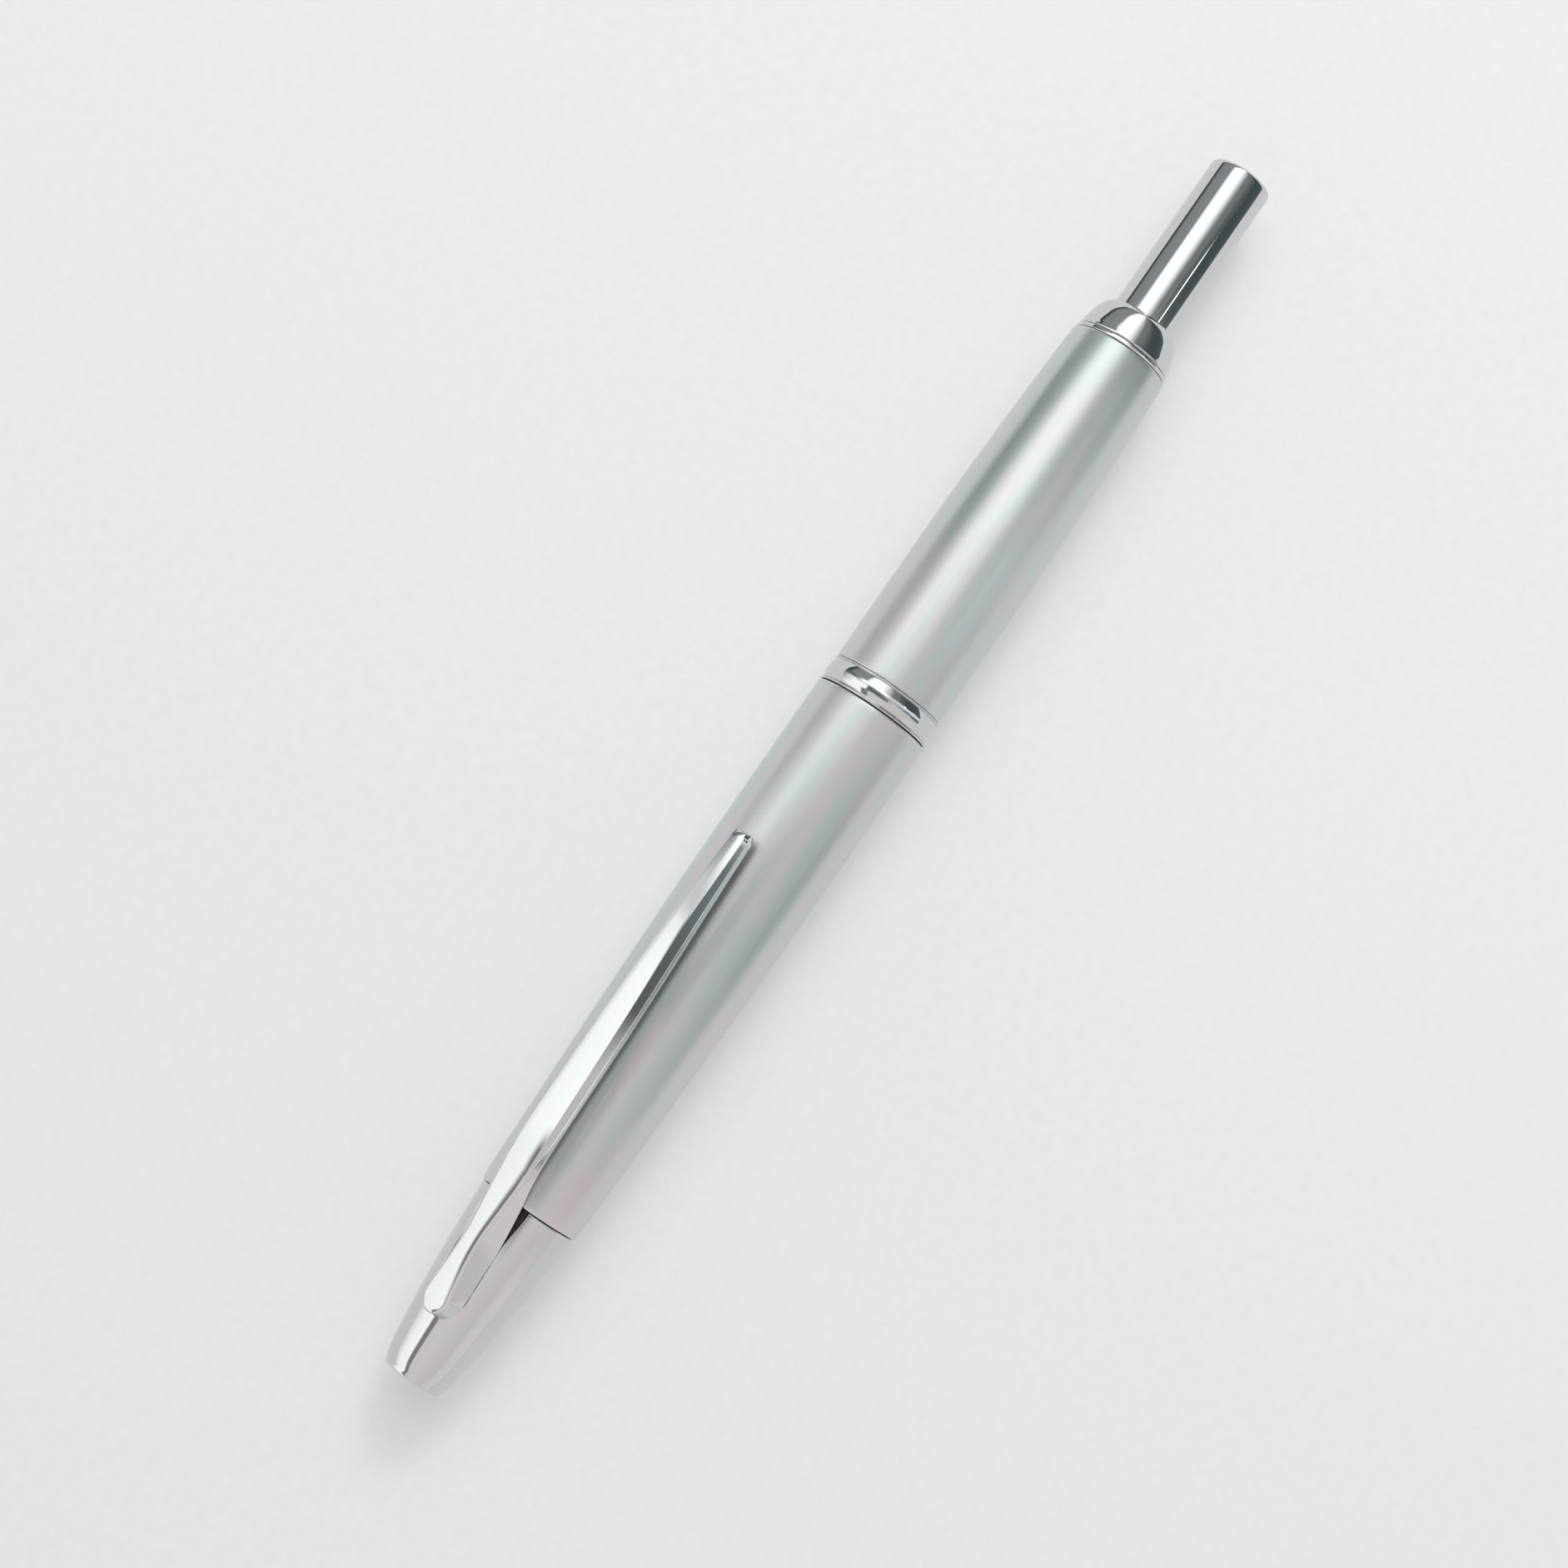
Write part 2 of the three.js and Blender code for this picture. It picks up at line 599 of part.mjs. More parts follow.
const trapDoor = group(piece("shutter_door", shutterDoor(), steel));
trapDoor.rotation.y = -DOOR_ANGLE;
const trapDoorHinge = group(trapDoor, piece("shutter_spring", shutterSpring(), steel));
trapDoorHinge.position.set(DOOR_HINGE.x, 0, DOOR_HINGE.z);

const frontSection = group(
  piece("nose_cone", noseCone(), chrome),
  piece("front_barrel", frontBarrel(), satin),
  piece("joint_sleeve", jointSleeve(), blackPlastic),
  piece("thread_sleeve", threadSleeve(), brass),
  piece("shutter_frame", shutterFrame(), blackPlastic),
  piece("shutter_pin", shutterPin(), steel),
  piece("clip_anchor", clipAnchor(), blackPlastic),
  piece("clip_root", clipRoot(), chrome),
  piece("spring_stop", ring(20, 21, 3.12, 3.7), steel),
  piece(
    "return_spring",
    coil(new Helix(SPRING_RADIUS, SPRING_START, SPRING_END, SPRING_TURNS), SPRING_WIRE, 12),
    steel,
  ),
  trapDoorHinge,
);

const nibUnit = group(
  piece("nib", nib(), rhodium),
  piece("feed", feed(), blackPlastic),
  piece("nib_collar", nibCollar(), blackPlastic),
  piece("unit_body", unitBody(), steel),
  piece("ink_cartridge", inkCartridge(), inkPlastic),
  piece("cartridge_cover", cartridgeCover(), steel),
);

const rearSection = group(
  piece("centre_band", centreBand(), chrome),
  piece("rear_barrel", rearBarrel(), satin),
  piece("rear_thread_bush", ring(SPIGOT_START - 0.1, 85.7, FEMALE_THREAD_RADIUS, 5.17, OUTER_SIDES), brass),
  piece("trim_ring", trimRing(), chrome),
  piece("rear_collar", rearCollar(), chrome),
  piece("cam_guide", camGuide(), blackPlastic),
  piece("knob_bush", knobBush(), brass),
);

const pushKnob = group(piece("knob", knob(), chrome), piece("plunger", plunger(), blackPlastic));

const pen = group(
  frontSection,
  piece("clip", clipArm(), chrome),
  nibUnit,
  piece("barrel_washer", barrelWasher(), rubber),
  rearSection,
  pushKnob,
  piece("rotary_cam", rotaryCam(), blackPlastic),
);
pen.rotation.x = -CLIP_ROLL;
pen.position.set(-PEN_LENGTH / 2, 0, BAND_RADIUS * Math.cos(Math.PI / OUTER_SIDES));

export default group(pen);
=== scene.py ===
"""Retractable fountain pen: fine shapes, finishes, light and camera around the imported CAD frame.

Shapes are drawn in pen millimetres: x runs from the nose rim to the knob's end, z points at the
clip, and a turned outline's points are (x, radius). PEN takes them to the frame's metres.
"""

import json
import math

import bmesh
import bpy
from mathutils import Matrix, Vector, noise


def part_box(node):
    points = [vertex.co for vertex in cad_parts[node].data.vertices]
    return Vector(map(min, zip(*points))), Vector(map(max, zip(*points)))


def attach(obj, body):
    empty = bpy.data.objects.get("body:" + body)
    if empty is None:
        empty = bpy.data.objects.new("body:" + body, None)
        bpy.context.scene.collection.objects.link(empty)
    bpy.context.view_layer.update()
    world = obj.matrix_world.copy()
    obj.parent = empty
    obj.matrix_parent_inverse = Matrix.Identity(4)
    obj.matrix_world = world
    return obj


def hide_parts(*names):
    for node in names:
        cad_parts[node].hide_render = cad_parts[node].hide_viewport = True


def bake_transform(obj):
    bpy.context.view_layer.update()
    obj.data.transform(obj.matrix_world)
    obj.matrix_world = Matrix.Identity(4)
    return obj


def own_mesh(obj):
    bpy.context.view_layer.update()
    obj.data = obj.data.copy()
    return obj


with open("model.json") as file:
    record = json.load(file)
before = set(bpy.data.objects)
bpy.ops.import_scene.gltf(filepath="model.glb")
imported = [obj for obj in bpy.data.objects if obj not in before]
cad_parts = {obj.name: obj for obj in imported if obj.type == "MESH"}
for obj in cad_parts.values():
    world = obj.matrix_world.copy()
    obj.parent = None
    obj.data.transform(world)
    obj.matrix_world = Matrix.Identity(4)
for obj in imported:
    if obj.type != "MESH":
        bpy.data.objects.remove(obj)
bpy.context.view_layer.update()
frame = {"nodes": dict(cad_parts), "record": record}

CLIP_ROLL = math.radians(23.5)
NOSE_RIM_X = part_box("nose_cone")[0].x
BAND_LOW, BAND_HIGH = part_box("centre_band")
AXIS_HEIGHT = (BAND_LOW.z + BAND_HIGH.z) / 2
PEN = (
    Matrix.Translation((NOSE_RIM_X, 0, AXIS_HEIGHT))
    @ Matrix.Rotation(-CLIP_ROLL, 4, "X")
    @ Matrix.Scale(0.001, 4)
)


def pen_x(node, end):
    """Where a CAD node starts (end 0) or stops (end 1) along the pen, in pen millimetres."""
    return (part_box(node)[end].x - NOSE_RIM_X) * 1000


NOSE_END = pen_x("nose_cone", 1)
BARREL_START = pen_x("front_barrel", 0)
BARREL_END = pen_x("front_barrel", 1)
BAND_START = pen_x("centre_band", 0)
BAND_END = pen_x("centre_band", 1)
BAND_RADIUS = (BAND_HIGH.z - BAND_LOW.z) * 500
REAR_END = pen_x("rear_barrel", 1)
COLLAR_END = pen_x("rear_collar", 1)
KNOB_FRONT = pen_x("knob", 0)
KNOB_END = pen_x("knob", 1)
KNOB_RADIUS = 3.28
SLOT_START = 8
SLOT_ROUND = 0.9
CLIP_BEND_END = 23.5
DOOR_HINGE = Vector((6.8, 0, 2.65))
DOOR_SLOPE = math.radians(64)
DOOR_CENTRE = 2.85
SPRING_START = 21.5
SPRING_END = 43.3


# ---- Curves and outlines ---------------------------------------------------------------------


def spline(points, steps=6):
    """A smooth curve through the points, with steps pieces between each two."""
    made = []
    for i in range(len(points) - 1):
        before = Vector(points[max(i - 1, 0)])
        start = Vector(points[i])
        end = Vector(points[i + 1])
        after = Vector(points[min(i + 2, len(points) - 1)])
        for k in range(steps):
            t = k / steps
            slope_in = (end - before) * 0.5
            slope_out = (after - start) * 0.5
            made.append(
                start * (2 * t**3 - 3 * t**2 + 1)
                + slope_in * (t**3 - 2 * t**2 + t)
                + end * (3 * t**2 - 2 * t**3)
                + slope_out * (t**3 - t**2)
            )
    made.append(Vector(points[-1]))
    return [tuple(p) for p in made]


def curve_function(points, steps=8):
    """The smooth curve through the points as a function of x."""
    line = spline(points, steps)

    def value(x):
        if x <= line[0][0]:
            return line[0][1]
        for (x0, y0), (x1, y1) in zip(line, line[1:]):
            if x <= x1:
                return y0 + (y1 - y0) * (x - x0) / max(x1 - x0, 1e-9)
        return line[-1][1]

    return value


def rounded(outline, steps=4):
    """Rounds each corner that has a third number, how far from the corner its curve starts."""
    made = []
    for i, corner in enumerate(outline):
        here = Vector(corner[:2])
        if len(corner) < 3:
            made.append(tuple(here))
            continue
        before = Vector(outline[i - 1][:2]) - here
        after = Vector(outline[(i + 1) % len(outline)][:2]) - here
        start = here + before.normalized() * min(corner[2], before.length / 2)
        end = here + after.normalized() * min(corner[2], after.length / 2)
        for k in range(steps + 1):
            t = k / steps
            made.append(tuple(start * (1 - t) ** 2 + here * 2 * t * (1 - t) + end * t * t))
    return made


def evenly(start, end, count):
    return [start + (end - start) * i / (count - 1) for i in range(count)]


def ease(t):
    t = min(max(t, 0), 1)
    return t * t * (3 - 2 * t)


# ---- Meshes ----------------------------------------------------------------------------------


def build_object(name, vertices, faces, place=Matrix.Identity(4), sharp=30):
    """A smooth-shaded object from pen millimetres, with edges over the sharp angle kept crisp."""
    mesh = bpy.data.meshes.new(name)
    mesh.from_pydata(vertices, [], faces)
    mesh.transform(PEN @ place)
    work = bmesh.new()
    work.from_mesh(mesh)
    bmesh.ops.remove_doubles(work, verts=work.verts, dist=2e-7)
    bmesh.ops.recalc_face_normals(work, faces=work.faces)
    work.to_mesh(mesh)
    work.free()
    mesh.shade_smooth()
    mesh.set_sharp_from_angle(angle=math.radians(sharp))
    made = bpy.data.objects.new(name, mesh)
    bpy.context.scene.collection.objects.link(made)
    weighted = made.modifiers.new("weighted_normals", "WEIGHTED_NORMAL")
    weighted.keep_sharp = True
    return made


def turned(name, outline, segments=144, radius_change=None, **settings):
    """Turns a closed outline about the pen's axis. radius_change(x, radius, angle) adds to radii."""
    vertices = []
    rings = []
    for x, radius in outline:
        if radius < 1e-6:
            rings.append([len(vertices)] * segments)
            vertices.append((x, 0, 0))
            continue
        rings.append(list(range(len(vertices), len(vertices) + segments)))
        for k in range(segments):
            angle = 2 * math.pi * k / segments
            r = radius + (radius_change(x, radius, angle) if radius_change else 0)
            vertices.append((x, r * math.sin(angle), r * math.cos(angle)))
    faces = []
    for i, ring in enumerate(rings):
        following = rings[(i + 1) % len(rings)]
        for k in range(segments):
            corners = [ring[k], ring[(k + 1) % segments], following[(k + 1) % segments], following[k]]
            corners = list(dict.fromkeys(corners))
            if len(corners) > 2:
                faces.append(corners)
    return build_object(name, vertices, faces, **settings)


def slotted_shell(
    name, stations, outer, inner, half_gap, end_angle, columns=72, edge=0.08, **settings
):
    """A turned shell with a gap along its top. outer, inner and half_gap are functions of x."""
    vertices = []
    faces = []
    near_edge = [0, 0.3, 0.65, 1]
    for side in (-1, 1):
        rows = {"outer": [], "inner": []}
        for x in stations:
            gap = half_gap(x)
            for skin, radius_at in (("outer", outer), ("inner", inner)):
                radius = radius_at(x)
                start = math.asin(min(gap / radius, 1)) if gap else 0
                angles = [start + share * edge / radius for share in near_edge]
                angles += evenly(angles[-1], end_angle, columns)[1:]
                row = []
                for k, angle in enumerate(angles):
                    lowered = 0
                    if skin == "outer" and gap and k < len(near_edge):
                        lowered = edge * 0.6 * (1 - near_edge[k]) ** 2
                    r = radius - lowered
                    row.append(len(vertices))
                    vertices.append((x, side * r * math.sin(angle), r * math.cos(angle)))
                rows[skin].append(row)
        for i in range(len(stations) - 1):
            for skin in rows.values():
                for a, b, c, d in zip(skin[i], skin[i][1:], skin[i + 1][1:], skin[i + 1]):
                    faces.append([a, b, c, d])
            outside, inside = rows["outer"][i : i + 2], rows["inner"][i : i + 2]
            if half_gap(stations[i]) or half_gap(stations[i + 1]):
                faces.append([outside[0][0], outside[1][0], inside[1][0], inside[0][0]])
            if end_angle < math.pi:
                faces.append([outside[0][-1], outside[1][-1], inside[1][-1], inside[0][-1]])
        for end in (0, -1):
            outside, inside = rows["outer"][end], rows["inner"][end]
            for a, b, c, d in zip(outside, outside[1:], inside[1:], inside):
                faces.append([a, b, c, d])
    return build_object(name, vertices, faces, **settings)


def swept_sections(name, sections, **settings):
    """Joins closed sections, each a list of points with the same count, and caps both ends."""
    vertices = [point for section in sections for point in section]
    count = len(sections[0])
    faces = []
    for i in range(len(sections) - 1):
        for k in range(count):
            a = i * count + k
            b = i * count + (k + 1) % count
            faces.append([a, b, b + count, a + count])
    faces.append(list(range(count)))
    faces.append(list(range(len(vertices) - count, len(vertices))))
    return build_object(name, vertices, faces, **settings)


# ---- Materials -------------------------------------------------------------------------------


class Finish:
    """A material built round one Principled shader, with short calls to add and join nodes."""

    def __init__(self, name, **values):
        self.material = bpy.data.materials.new(name)
        self.material.use_nodes = True
        self.tree = self.material.node_tree
        self.shader = self.tree.nodes["Principled BSDF"]
        self.coordinates = self.node("ShaderNodeTexCoord").outputs["Object"]
        for socket, value in values.items():
            self.shader.inputs[socket.replace("_", " ")].default_value = value

    def node(self, kind, inputs=None, **settings):
        made = self.tree.nodes.new(kind)
        for key, value in settings.items():
            setattr(made, key, value)
        for key, value in (inputs or {}).items():
            if isinstance(value, bpy.types.NodeSocket):
                self.tree.links.new(value, made.inputs[key])
            else:
                made.inputs[key].default_value = value
        return made

    def stretched_noise(self, scale, detail=3.0, roughness=0.55):
        """Noise whose grains are 1/scale metres across, with a scale for each axis."""
        placed = self.node("ShaderNodeMapping", {"Vector": self.coordinates, "Scale": scale})
        made = self.node(
            "ShaderNodeTexNoise",
            {"Vector": placed.outputs[0], "Scale": 1.0, "Detail": detail, "Roughness": roughness},
        )
        return made.outputs["Fac"]

    def ranged(self, value, from_low, from_high, to_low, to_high):
        made = self.node(
            "ShaderNodeMapRange",
            {
                "Value": value, "From Min": from_low, "From Max": from_high,
                "To Min": to_low, "To Max": to_high,
            },
        )
        return made.outputs["Result"]

    def sum(self, a, b):
        return self.node("ShaderNodeMath", {0: a, 1: b}, operation="ADD").outputs[0]

    def mix_colour(self, share, a, b):
        made = self.node("ShaderNodeMix", data_type="RGBA")
        colours = [s for s in made.inputs if s.type == "RGBA"]
        self.tree.links.new(share, made.inputs["Factor"])
        for socket, value in zip(colours, (a, b)):
            socket.default_value = (*value, 1)
        return next(s for s in made.outputs if s.type == "RGBA")

    def link(self, output, socket):
        self.tree.links.new(output, self.shader.inputs[socket])

    def bump(self, height, distance, strength):
        made = self.node("ShaderNodeBump", {"Height": height, "Distance": distance, "Strength": strength})
        self.link(made.outputs["Normal"], "Normal")


def scratches(finish, tilt, density):
    """Sparse hairline marks: 1 on a mark and 0 elsewhere."""
    placed = finish.node(
        "ShaderNodeMapping",
        {"Vector": finish.coordinates, "Rotation": (0, 0, tilt), "Scale": (90, 2600, 2600)},
    )
    lines = finish.node("ShaderNodeTexNoise", {"Vector": placed.outputs[0], "Scale": 1.0, "Detail": 1.0})
    return finish.ranged(lines.outputs["Fac"], density, density + 0.03, 0.0, 1.0)


def satin_finish():
    """Pearl-blasted aluminium with faint lengthwise brushing and cool and warm clouds."""
    finish = Finish("satin_silver", Metallic=0.88)
    streaks = finish.stretched_noise((90, 3600, 3600), detail=4.0)
    grain = finish.stretched_noise((5000, 7000, 7000), detail=2.0)
    cloud = finish.stretched_noise((60, 420, 420), detail=3.0, roughness=0.6)
    ripple = finish.stretched_noise((120, 900, 900), detail=1.0)
    tint = finish.ranged(cloud, 0.38, 0.62, 0.0, 1.0)
    finish.link(finish.mix_colour(tint, (0.575, 0.64, 0.625), (0.665, 0.63, 0.645)), "Base Color")
    base_roughness = finish.ranged(streaks, 0.3, 0.7, 0.29, 0.35)
    finish.link(finish.sum(base_roughness, finish.ranged(cloud, 0.3, 0.7, -0.02, 0.02)), "Roughness")
    marks = finish.ranged(scratches(finish, 0.12, 0.76), 0, 1, 0, -0.1)
    fine = finish.sum(finish.ranged(streaks, 0, 1, 0, 0.3), finish.ranged(grain, 0, 1, 0, 0.3))
    uneven = finish.sum(fine, finish.ranged(ripple, 0, 1, 0, 4))
    finish.bump(finish.sum(uneven, marks), distance=0.0000025, strength=0.6)
    return finish.material


def chrome_finish(name="chrome", colour=(0.63, 0.65, 0.66), haze=0.0):
    """Plated metal: mirror bright, with faint polishing haze, finger film and hairlines."""
    finish = Finish(name, Metallic=1.0)
    film = finish.stretched_noise((240, 320, 320), detail=4.0)
    warm = tuple(c * w for c, w in zip(colour, (1.0, 0.985, 0.975)))
    finish.link(finish.mix_colour(finish.ranged(film, 0.35, 0.7, 0, 1), colour, warm), "Base Color")
    marks = finish.sum(scratches(finish, 0.6, 0.74), scratches(finish, -0.25, 0.76))
    smooth = finish.ranged(film, 0.35, 0.75, 0.035 + haze, 0.075 + haze)
    roughness = finish.sum(smooth, finish.ranged(marks, 0, 1, 0, 0.1))
    finish.link(roughness, "Roughness")
    waviness = finish.stretched_noise((350, 500, 500), detail=1.0)
    finish.bump(waviness, distance=0.0000025, strength=0.5)
    return finish.material


def turned_metal(name, light, dark, roughness):
    """Lathe-turned metal: fine rings round the pen's axis."""
    finish = Finish(name, Metallic=1.0)
    rings = finish.stretched_noise((16000, 250, 250), detail=3.0)
    stain = finish.stretched_noise((300, 300, 300), detail=4.0)
    finish.link(finish.mix_colour(finish.ranged(stain, 0.3, 0.7, 0, 1), dark, light), "Base Color")
    finish.link(finish.ranged(rings, 0.3, 0.7, roughness - 0.06, roughness + 0.08), "Roughness")
    finish.bump(rings, distance=0.000004, strength=0.6)
    return finish.material


def moulded_finish(name, colour, roughness, grain_size, **values):
    """Moulded plastic or rubber with a fine spark-eroded grain."""
    finish = Finish(name, Metallic=0.0, **values)
    grain = finish.stretched_noise((1 / grain_size,) * 3, detail=3.0)
    patch = finish.stretched_noise((400, 400, 400), detail=2.0)
    lighter = tuple(min(c * 1.35 + 0.003, 1) for c in colour)
    finish.link(finish.mix_colour(finish.ranged(patch, 0.3, 0.7, 0, 1), colour, lighter), "Base Color")
    finish.link(finish.ranged(grain, 0.3, 0.7, roughness - 0.08, roughness + 0.08), "Roughness")
    finish.bump(grain, distance=0.000006, strength=0.6)
    return finish.material


MATERIALS = {
    "satin_silver": satin_finish(),
    "chrome": chrome_finish(),
    "rhodium": chrome_finish("rhodium", (0.74, 0.745, 0.75), haze=0.03),
    "steel": turned_metal("steel", (0.58, 0.59, 0.61), (0.48, 0.49, 0.51), 0.24),
    "brass": turned_metal("brass", (0.78, 0.6, 0.3), (0.66, 0.48, 0.22), 0.26),
    "black_plastic": moulded_finish("black_plastic", (0.018, 0.018, 0.02), 0.42, 0.00006),
    "rubber": moulded_finish("rubber", (0.022, 0.022, 0.024), 0.78, 0.00009),
    "ink_plastic": moulded_finish("ink_plastic", (0.04, 0.07, 0.28), 0.2, 0.0002, Coat_Weight=0.4),
}
BODY_OF = {
    node: body for body, nodes in frame["record"]["behaviour"]["bodies"].items() for node in nodes
}
SLOT_OF = {part["node"]: part["material_slot"] for part in frame["record"]["subparts"]}


def stands_for(piece, *nodes, ride=True):
    """The piece takes the place, the body and the finish of these CAD nodes."""
    slot = SLOT_OF[nodes[0]]
    piece.data.materials.append(MATERIALS[slot])
    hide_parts(*nodes)
    if ride:
        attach(piece, BODY_OF[nodes[0]])
    return piece


# ---- Nose and front barrel -------------------------------------------------------------------

NOSE_RIM = 0.35
NOSE_LIP = 1.3
NOSE_WALL = 0.3
NOSE_SEAM_ROUND = 0.07
PORT_RADIUS = 2.35
PORT_CHAMFER = 0.1
SLOT_HALF_FRONT = 2.17
SLOT_FLARE = 0.36
nose_radius = curve_function(
    [(NOSE_RIM, 3.04), (2, 3.55), (6.7, 4.15), (12.9, 4.7), (NOSE_END - NOSE_SEAM_ROUND, 5.08)]
)


def nose_outer(x):
    """The cone, with a rounded rim in front and a small round at the seam."""
    if x < NOSE_RIM:
        rim_drop = 0.42
        return nose_radius(NOSE_RIM) - rim_drop * (1 - math.sqrt(1 - (1 - x / NOSE_RIM) ** 2))
    drop = max(x - (NOSE_END - NOSE_SEAM_ROUND), 0) / NOSE_SEAM_ROUND
    return nose_radius(x) - NOSE_SEAM_ROUND * (1 - math.sqrt(1 - min(drop, 1) ** 2))


def nose_inner(x):
    if x < NOSE_LIP:
        return PORT_RADIUS + PORT_CHAMFER * max(1 - x / PORT_CHAMFER, 0)
    return min(nose_radius(x) - NOSE_WALL, 4.6)


def slot_half(x):
    if x <= SLOT_START:
        return 0
    full = SLOT_HALF_FRONT + SLOT_FLARE * ease((x - 15) / 4)
    reach = min((x - SLOT_START) / SLOT_ROUND, 1)
    return full * math.sqrt(1 - (1 - reach) ** 2)


def nose_piece():
    stations = evenly(0, NOSE_RIM, 9) + evenly(NOSE_RIM, NOSE_LIP - 0.01, 6)[1:]
    stations += evenly(NOSE_LIP + 0.01, SLOT_START, 22)
    stations += [SLOT_START + SLOT_ROUND * (1 - math.cos(k * math.pi / 24)) for k in range(1, 13)]
    stations += evenly(SLOT_START + SLOT_ROUND, NOSE_END - NOSE_SEAM_ROUND, 40)[1:]
    stations += [NOSE_END - NOSE_SEAM_ROUND * (1 - math.sin(k * math.pi / 8)) for k in range(1, 5)]
    piece = slotted_shell("nose_shell", stations, nose_outer, nose_inner, slot_half, math.pi, columns=80)
    return stands_for(piece, "nose_cone")


def front_barrel_piece():
    body = spline(
        [(20.6, 5.31), (23, 5.38), (27, 5.47), (31, 5.585), (38.8, 5.76), (46.6, 5.89), (54.6, 5.97),
         (62.6, 6.0), (70, 5.99), (BARREL_END - 0.5, 5.96)],
        steps=8,
    )
    nose_edge = [(BARREL_START, 4.6), (BARREL_START, 5.15, 0.06), (BARREL_START + 0.2, 5.24, 0.15)]
    rear_edge = [(BARREL_END - 0.06, 5.955, 0.08), (BARREL_END + 0.05, 5.86, 0.04)]
    bore = [(BARREL_END, 5.15, 0.05), (61.5, 5.15), (61.5, 4.6)]
    outline = rounded([*nose_edge, *body, *rear_edge, *bore])
    return stands_for(turned("front_barrel_shell", outline, segments=192), "front_barrel")


# ---- Clip ------------------------------------------------------------------------------------

CLIP_FRONT = 6.4
CLIP_TOP_END = 58.98
CLIP_END = pen_x("clip", 1)
# Along the clip: x, half width and height of the top, then of its lip, then of its foot.
CLIP_STATIONS = [
    (CLIP_FRONT, 0.12, 4.9, 0.3, 4.6, 0.45, 4.1),
    (6.6, 0.5, 5.22, 0.7, 4.9, 1.2, 4.0),
    (7.1, 0.88, 5.3, 1.07, 4.98, 1.68, 3.86),
    (7.5, 1.08, 5.4, 1.28, 5.05, 1.85, 3.82),
    (8.0, 1.18, 5.53, 1.37, 5.15, 2.0, 3.8),
    (8.9, 1.13, 5.69, 1.33, 5.26, 2.12, 3.84),
    (11, 0.92, 6.03, 1.12, 5.56, 2.14, 3.88),
    (12.5, 0.81, 6.24, 1.01, 5.78, 2.14, 4.02),
    (14.1, 0.75, 6.4, 0.94, 5.94, 2.13, 4.24),
    (15.6, 0.79, 6.55, 0.99, 6.16, 2.12, 4.5),
    (18.7, 1.08, 6.84, 1.28, 6.48, 2.08, 5.24),
    (20.3, 1.22, 6.98, 1.41, 6.56, 2.02, 5.74),
    (21.9, 1.3, 7.2, 1.53, 6.72, 2.0, 6.22),
    (23.4, 1.33, 7.42, 1.6, 6.84, 1.99, 6.46),
    (26.5, 1.34, 7.71, 1.69, 6.94, 1.98, 6.65),
    (31.2, 1.28, 7.96, 1.67, 7.08, 1.96, 6.79),
    (39, 1.15, 8.3, 1.58, 7.36, 1.9, 7.03),
    (46.7, 0.92, 8.6, 1.36, 7.6, 1.71, 7.26),
    (50.2, 0.83, 8.64, 1.26, 7.68, 1.59, 7.36),
    (54.4, 0.78, 8.47, 1.1, 7.7, 1.43, 7.38),
    (CLIP_TOP_END, 0.66, 8.22, 0.9, 7.67, 1.22, 7.34),
]
clip_curves = [curve_function([(row[0], row[k]) for row in CLIP_STATIONS]) for k in range(1, 7)]
ARM_START = 21
CLIP_FRONT_ROUND = 0.6
CLIP_END_ROUND = 0.35
CLIP_PIVOT_HEIGHT = 6.4
CLIP_GAP = 0.03
HEAD_CROWN = 0.06
ARM_CROWN = 0.09
HEAD_BEVEL = Vector((0.29, -0.13))
TOP_BEVEL = 0.05
BEAD_HEIGHT = 0.05
BEADS = 2.5
SHEET = 0.12


def clip_foot_height(x, half, foot):
    """Height of the flank's foot: on the nose in front of the slot, and behind that as drawn."""
    on_nose = math.sqrt((nose_radius(x) + CLIP_GAP) ** 2 - half**2)
    in_slot = ease((x - SLOT_START - SLOT_ROUND) / 1.6)
    return on_nose + (foot - on_nose) * in_slot


def clip_section(x, top_half, top, lip_half, lip, foot_half, foot):
    """Half of the clip's section, from the middle of its top round to the middle below."""
    crown = HEAD_CROWN + (ARM_CROWN - HEAD_CROWN) * ease((x - 14) / 8)
    points = [(top_half * share, top + crown * (1 - share**2)) for share in (0, 0.25, 0.5, 0.75, 0.93)]
    edge = Vector((top_half, top))
    on_arm = ease((x - ARM_START) / 3)
    gentle = edge + HEAD_BEVEL * min(top_half, 1)
    shoulder = gentle.lerp(Vector((lip_half, lip)), on_arm)
    down = (shoulder - edge).normalized()
    bevel = min(TOP_BEVEL, top_half / 4)
    points += [tuple(edge), tuple(edge + down * bevel)]
    points += [tuple(edge.lerp(shoulder, share)) for share in (0.35, 0.65, 0.9)]
    run = Vector((foot_half, foot)) - shoulder
    outward = Vector((-run.y, run.x)).normalized()
    for k in range(1, 25):
        share = k / 24
        bead = BEAD_HEIGHT * (0.5 - 0.5 * math.cos(2 * math.pi * share * BEADS))
        raised = bead * min(1, 5 * (1 - share)) * on_arm
        points.append(tuple(shoulder + run * share + outward * raised))
    points += [(foot_half - 0.02, foot - SHEET * 0.6), (foot_half - 0.1, foot - SHEET)]
    if x < SLOT_START + SLOT_ROUND:
        radius = nose_radius(x) + CLIP_GAP
        return points + [(y, math.sqrt(radius**2 - y**2)) for y in (foot_half * 0.8, foot_half * 0.4, 0)]
    hollow = max(foot + 0.45 * ease((x - 14) / 4), 4.4)
    return points + [(foot_half - 0.3, foot - SHEET), (lip_half * 0.9, hollow), (0, hollow)]


